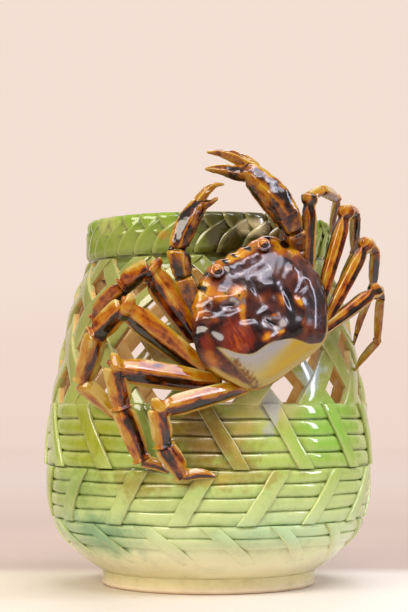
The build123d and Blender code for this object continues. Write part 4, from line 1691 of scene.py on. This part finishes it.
def mark_limb(piece, stations, bend, tint, ends=(0.12, 0.12), twice=False):
    """Masks for a limb's glaze: how near its ends, how far along and across it, and how thin."""
    co = places(piece)
    centres = np.array([list(s[0]) for s in stations])
    widths = np.array([s[2] for s in stations])
    best = np.full(len(co), 1e9)
    across, along = np.zeros(len(co)), np.zeros(len(co))
    lengths = np.concatenate([[0], np.cumsum(np.linalg.norm(np.diff(centres, axis=0), axis=1))])
    for i in range(len(centres) - 1):
        run = centres[i + 1] - centres[i]
        t = np.clip(((co - centres[i]) @ run) / (run @ run), 0, 1)
        foot = centres[i] + t[:, None] * run
        away = np.linalg.norm(co - foot, axis=1)
        closer = away < best
        sideways = np.cross(np.array(bend), run / np.linalg.norm(run))
        sideways = sideways * (1 if sideways @ np.array(crab_forward) > 0 else -1)
        half = (widths[i] * (1 - t) + widths[i + 1] * t) / 2
        best = np.where(closer, away, best)
        across = np.where(closer, (co - foot) @ sideways / half, across)
        along = np.where(closer, lengths[i] + t * np.linalg.norm(run), along)
    share = along / lengths[-1]
    start, end = ends
    tips = np.maximum(start * np.clip(1 - share / 0.16, 0, 1), end * rising(share, 0.82, 0.18))
    if twice:
        across = 2.1 * np.abs(across) - 1.3
    mark(piece, ridge=tips, run=along, across=across, tint=tint)


def knuckle(centre, run, radius, tint):
    """A small knob at a joint, drawn out along the limb."""
    turn = run.to_track_quat("Z", "Y").to_euler()
    knob = new_ball(centre, turn, radius, 16, 12, 1.4)
    mark(knob, across=0.60, tint=max(tint, -0.1))
    return knob


def hold_inside(piece):
    """Presses the last few millimetres in, so that no limb stands out past the solids' own box."""
    co = places(piece)
    low, high = np.array(cad_box[0]), np.array(cad_box[1])
    ease = 2.0 * mm
    over = np.clip(co - (high - ease), 0, None)
    under = np.clip((low + ease) - co, 0, None)
    co = np.minimum(co, high - ease) + 0.9 * ease * (1 - np.exp(-over / ease))
    co = np.maximum(co, low + ease) - 0.9 * ease * (1 - np.exp(-under / ease))
    move_to(piece, co)


def finish_limb(parts, name, grains, glaze):
    """A length of limb with its knuckles in one piece, roughened and set in place."""
    whole = join(parts, f"{name}_modelled")
    for grain, depth in grains:
        roughen(whole, grain, depth)
    hold_inside(whole)
    smooth(whole, 70)
    set_in_place(whole, name, glaze)


# How a length of leg swells along its run: share of the way, share of its base width.
leg_swells = {
    "merus": [
        (0.0, 0.62), (0.08, 0.72), (0.3, 0.9), (0.6, 1.02), (0.84, 1.06), (0.94, 1.16),
        (0.99, 1.24), (1.03, 1.2),
    ],
    "carpus": [
        (-0.03, 0.8), (0.05, 1.08), (0.12, 1.12), (0.4, 1.06), (0.75, 1.14), (0.93, 1.24),
        (1.0, 1.22),
    ],
    "propodus": [
        (-0.03, 0.8), (0.05, 1.06), (0.12, 1.12), (0.4, 1.1), (0.75, 1.0), (0.94, 1.04), (1.0, 1.0),
    ],
    "dactylus": [
        (-0.02, 0.76), (0.1, 0.94), (0.45, 0.82), (0.75, 0.58), (0.93, 0.34), (1.0, 0.14),
    ],
}


def make_leg(name, joints, tip, widths, tints):
    """A walking leg, from its root on the body to its tip on the pot."""
    tip_bearing, tip_share, on_strip = tip
    *width_shares, depth_share = widths
    on_right = name.startswith("right")
    most_swell = 1.10 if on_right else 2
    tip_height = tip_share * pot_height
    tip_radius = rim_radius if tip_height > rim_low else pot_radius(tip_height)
    landing = on_pot(tip_bearing, tip_height, tip_radius + on_strip * strip_proud)
    points = [on_crab(*joint) for joint in joints]
    points.append(landing + (landing - points[-1]).normalized() * 1.0 * mm)
    facings, bend = limb_ways(points)
    lengths = zip(leg_swells.items(), width_shares, leg_arches.get(name, usual_arches), tints)
    for index, ((part, swells), width_share, arch, tint) in enumerate(lengths):
        base_width = width_share * carapace_width * mm
        start, end = points[index], points[index + 1]
        run = (end - start).normalized()
        lift = bend.cross(run)
        away_from_pot = (lift if lift.dot(crab_out) > 0 else -lift) * (arch * mm)
        stations = []
        for share, swell in swells:
            if share < 0.5:
                first_turn = min(max(share, 0) / 0.3, 1)
                facing = run.lerp(facings[index], 0.4 * (1 - first_turn))
            else:
                facing = run.lerp(facings[index + 1], 0.3 * max((share - 0.7) / 0.3, 0))
            centre = start + (end - start) * share + away_from_pot * sin(pi * max(share, 0))
            stations.append((centre, facing.normalized(), min(swell, most_swell) * base_width))
        outer = list(stations)
        if part != "dactylus":
            seat = end - run * 0.09 * (end - start).length
            stations.append((seat, stations[-1][1], 0.62 * base_width))
        parts = [limb_length(f"{name}_{part}", stations, bend, depth_share, 0.6)]
        mark_limb(parts[0], outer, bend, tint, twice=on_right and part == "merus")
        if part == "merus" and not on_right:
            side = bend.cross(facings[index + 1]).normalized() * base_width * 0.40
            knob = 0.14 * base_width
            for way in (-1, 1):
                parts.append(knuckle(end + side * way - run * knob * 1.5, run, knob, tint))
        finish_limb(parts, f"{name}_{part}", [(5, 0.5)], limb_glaze)


for leg_name, leg_shape in legs.items():
    make_leg(leg_name, *leg_shape)


def halfway_stations(points, widths, facings):
    """Rings along a claw's part, with one more between each two for a smooth run."""
    stations = []
    for i in range(len(points) - 1):
        for share in (0.0, 0.5):
            facing = facings[i].lerp(facings[i + 1], share).normalized()
            width = widths[i] * (1 - share) + widths[i + 1] * share
            stations.append((points[i].lerp(points[i + 1], share), facing, width))
    return stations + [(points[-1], facings[-1], widths[-1])]


# How the two lengths of a claw's arm swell, and each part's tint and how it pales at its far end.
arm_swells = [(0.0, 0.80), (0.12, 1.02), (0.4, 1.10), (0.75, 1.18), (0.92, 1.10), (1.0, 0.84)]
claw_looks = {
    "merus": (0.0, 0.15),
    "carpus": (-0.02, 0.15),
    "palm": (0.0, 0.45),
    "finger": (0.42, 0.45),
}


def placed_joints(joints):
    """A claw's joints on the crab, its widths there, the way each joint faces and the bend."""
    points = [on_crab(*joint[:3]) for joint in joints]
    return points, [joint[3] * carapace_width * mm for joint in joints], *limb_ways(points)


def make_claw(name, arm, finger, depth_share):
    """A claw: its arm's two lengths, the palm with its fixed finger, and the moving finger."""
    points, widths, facings, bend = placed_joints(arm)
    made = {}
    for i, part in enumerate(("merus", "carpus")):
        stations = []
        for share, swell in arm_swells:
            facing = facings[i].lerp(facings[i + 1], share).normalized()
            width = (widths[i] * (1 - share) + widths[i + 1] * share) * swell
            stations.append((points[i].lerp(points[i + 1], share), facing, width))
        made[part] = (stations, bend)
    made["palm"] = (halfway_stations(points[2:], widths[2:], facings[2:]), bend)
    *finger_joints, finger_bend = placed_joints(finger)
    made["finger"] = (halfway_stations(*finger_joints), finger_bend)
    for part, (stations, way) in made.items():
        tint, far_end = claw_looks[part]
        parts = [limb_length(f"{name}_{part}", stations, way, depth_share, 0.35)]
        mark_limb(parts[0], stations, way, tint, (0.1, far_end))
        if part in ("merus", "carpus"):
            end, facing, width = stations[-1]
            side = way.cross(facing).normalized() * width * 0.40
            for turn in (-1, 1):
                parts.append(knuckle(end + side * turn, facing, 0.16 * width, tint))
        grains = [(5, 0.9), (2.2, 0.55)] if part == "palm" else [(5, 0.9)]
        finish_limb(parts, f"{name}_{part}", grains, claw_glaze)


for claw_name, claw_shape in claw_shares.items():
    make_claw(claw_name, *claw_shape)

# The backdrop's colour from the table's far edge (0) to the wall, three metres off (1).
wall_stops = [
    (0.15, "e3ccc0"), (0.24, "e8cfc3"), (0.37, "ebd6cc"), (0.74, "ecd3c8"), (0.97, "f1dacd"),
    (1.0, "f3dfd3"),
]


def table_finish():
    """A pale table that turns, for the eye and its mirrored image, into a lit backdrop."""
    material, tree, shader, place = start_material("pale_table")
    x = add_node(tree, "SeparateXYZ", "X", Vector=place)
    y = add_node(tree, "SeparateXYZ", "Y", Vector=place)
    distance = vectors("LENGTH", place)
    base = blend_colours(soft_step(x, 0.05, -0.12), colour("dcd4cb"), colour("cfc4b0"))
    cloud = clouds(tree, place, 3.0, 3.0) * 0.3 + 0.15
    for mask, text in (
        (cloud, "e8e0d6"),
        (soft_step(distance, 0.16, 0.5), "b4aaa0"),
        (soft_step(y, 0.040, 0.085), "b9a69b"),
    ):
        base = blend_colours(mask, base, colour(text))
    plug(shader.inputs["Base Color"], base)
    shader.inputs["Roughness"].default_value = 0.5
    wall_light = add_node(tree, "Emission", 0, Color=ramp_of(distance * (1 / 3), wall_stops))
    seen = maths(
        "MAXIMUM",
        add_node(tree, "LightPath", "Is Camera Ray"),
        add_node(tree, "LightPath", "Is Glossy Ray"),
    )
    far = soft_step(distance, 0.40, 0.62) * seen
    joined = node_for("MixShader", (far, Value(shader.outputs[0]), wall_light))
    output = next(node for node in tree.nodes if node.type == "OUTPUT_MATERIAL")
    plug(output.inputs["Surface"], Value(joined.outputs[0]))
    return material


def make_stage():
    """A pale table top that rises behind the pot into a pale wall."""
    put_tools_down()
    bpy.ops.mesh.primitive_plane_add(size=6, location=(0, 0, 0))
    floor = bpy.context.object
    floor.name = "table_top"
    go("EDIT")
    pick("DESELECT", "EDGE")
    go("OBJECT")
    for edge in floor.data.edges:
        edge.select = all(floor.data.vertices[v].co.y > 2 for v in edge.vertices)
    go("EDIT")
    bpy.ops.mesh.extrude_region_move(TRANSFORM_OT_translate={"value": (0, 0, 4)})
    go("OBJECT")
    bevel(floor, 0.6, 12, 40)
    smooth(floor, 60)
    floor.data.materials.append(table_finish())


make_stage()

# The lamps: place, the sizes of their panes, watts and colour.
lamps = {
    "soft_key": ((-0.9, -1.1, 1.0), (0.9, 0.7), 20.5, "fff4e6"),
    "soft_fill": ((1.4, -0.3, 0.75), (0.2, 1.0), 9.5, "e6e8ff"),
    "soft_top": ((0.33, -0.75, 1.15), (0.9, 0.5), 10, "efecff"),
    "narrow_top": ((0.2, -0.85, 1.1), (0.9, 0.05), 2.2, "ffffff"),
    "soft_back": ((0.0, 0.6, 1.2), (0.8, 0.5), 7, "ffffff"),
}
lit_place = Vector((0, 0, 0.1))
for lamp_name, (lamp_place, pane, watts, lamp_colour) in lamps.items():
    lamp = bpy.data.lights.new(lamp_name, "AREA")
    lamp.shape = "RECTANGLE"
    lamp.size, lamp.size_y = pane
    lamp.energy = watts
    lamp.color = colour(lamp_colour)[:3]
    holder = new_object(lamp_name, lamp)
    holder.location = lamp_place
    towards = lit_place - holder.location
    holder.rotation_euler = towards.to_track_quat("-Z", "Y").to_euler()

world = bpy.data.worlds.new("studio")
bpy.context.scene.world = world
world.use_nodes = True
sky = world.node_tree
facing_sky = add_node(sky, "TexCoord", "Generated")
overhead = soft_step(add_node(sky, "SeparateXYZ", "Z", Vector=facing_sky), -0.1, 0.75)
camera_ray = add_node(sky, "LightPath", "Is Camera Ray")
background = sky.nodes["Background"].inputs
plug(background["Strength"], maths("MAXIMUM", overhead * 0.5 + 0.18, camera_ray))
plug(background["Color"], blend_colours(camera_ray, colour("f3ece6"), colour("f3dfd3")))

camera_data = bpy.data.cameras.new("camera")
camera_data.sensor_width = 36
camera_data.lens = 97.06
camera_data.clip_start = 0.05
camera = new_object("camera", camera_data)
camera.location = (0, -0.924, 0.1035)
camera.rotation_euler = (radians(93.122), 0, radians(0.156))
bpy.context.scene.camera = camera
bpy.context.scene.view_settings.view_transform = "Standard"
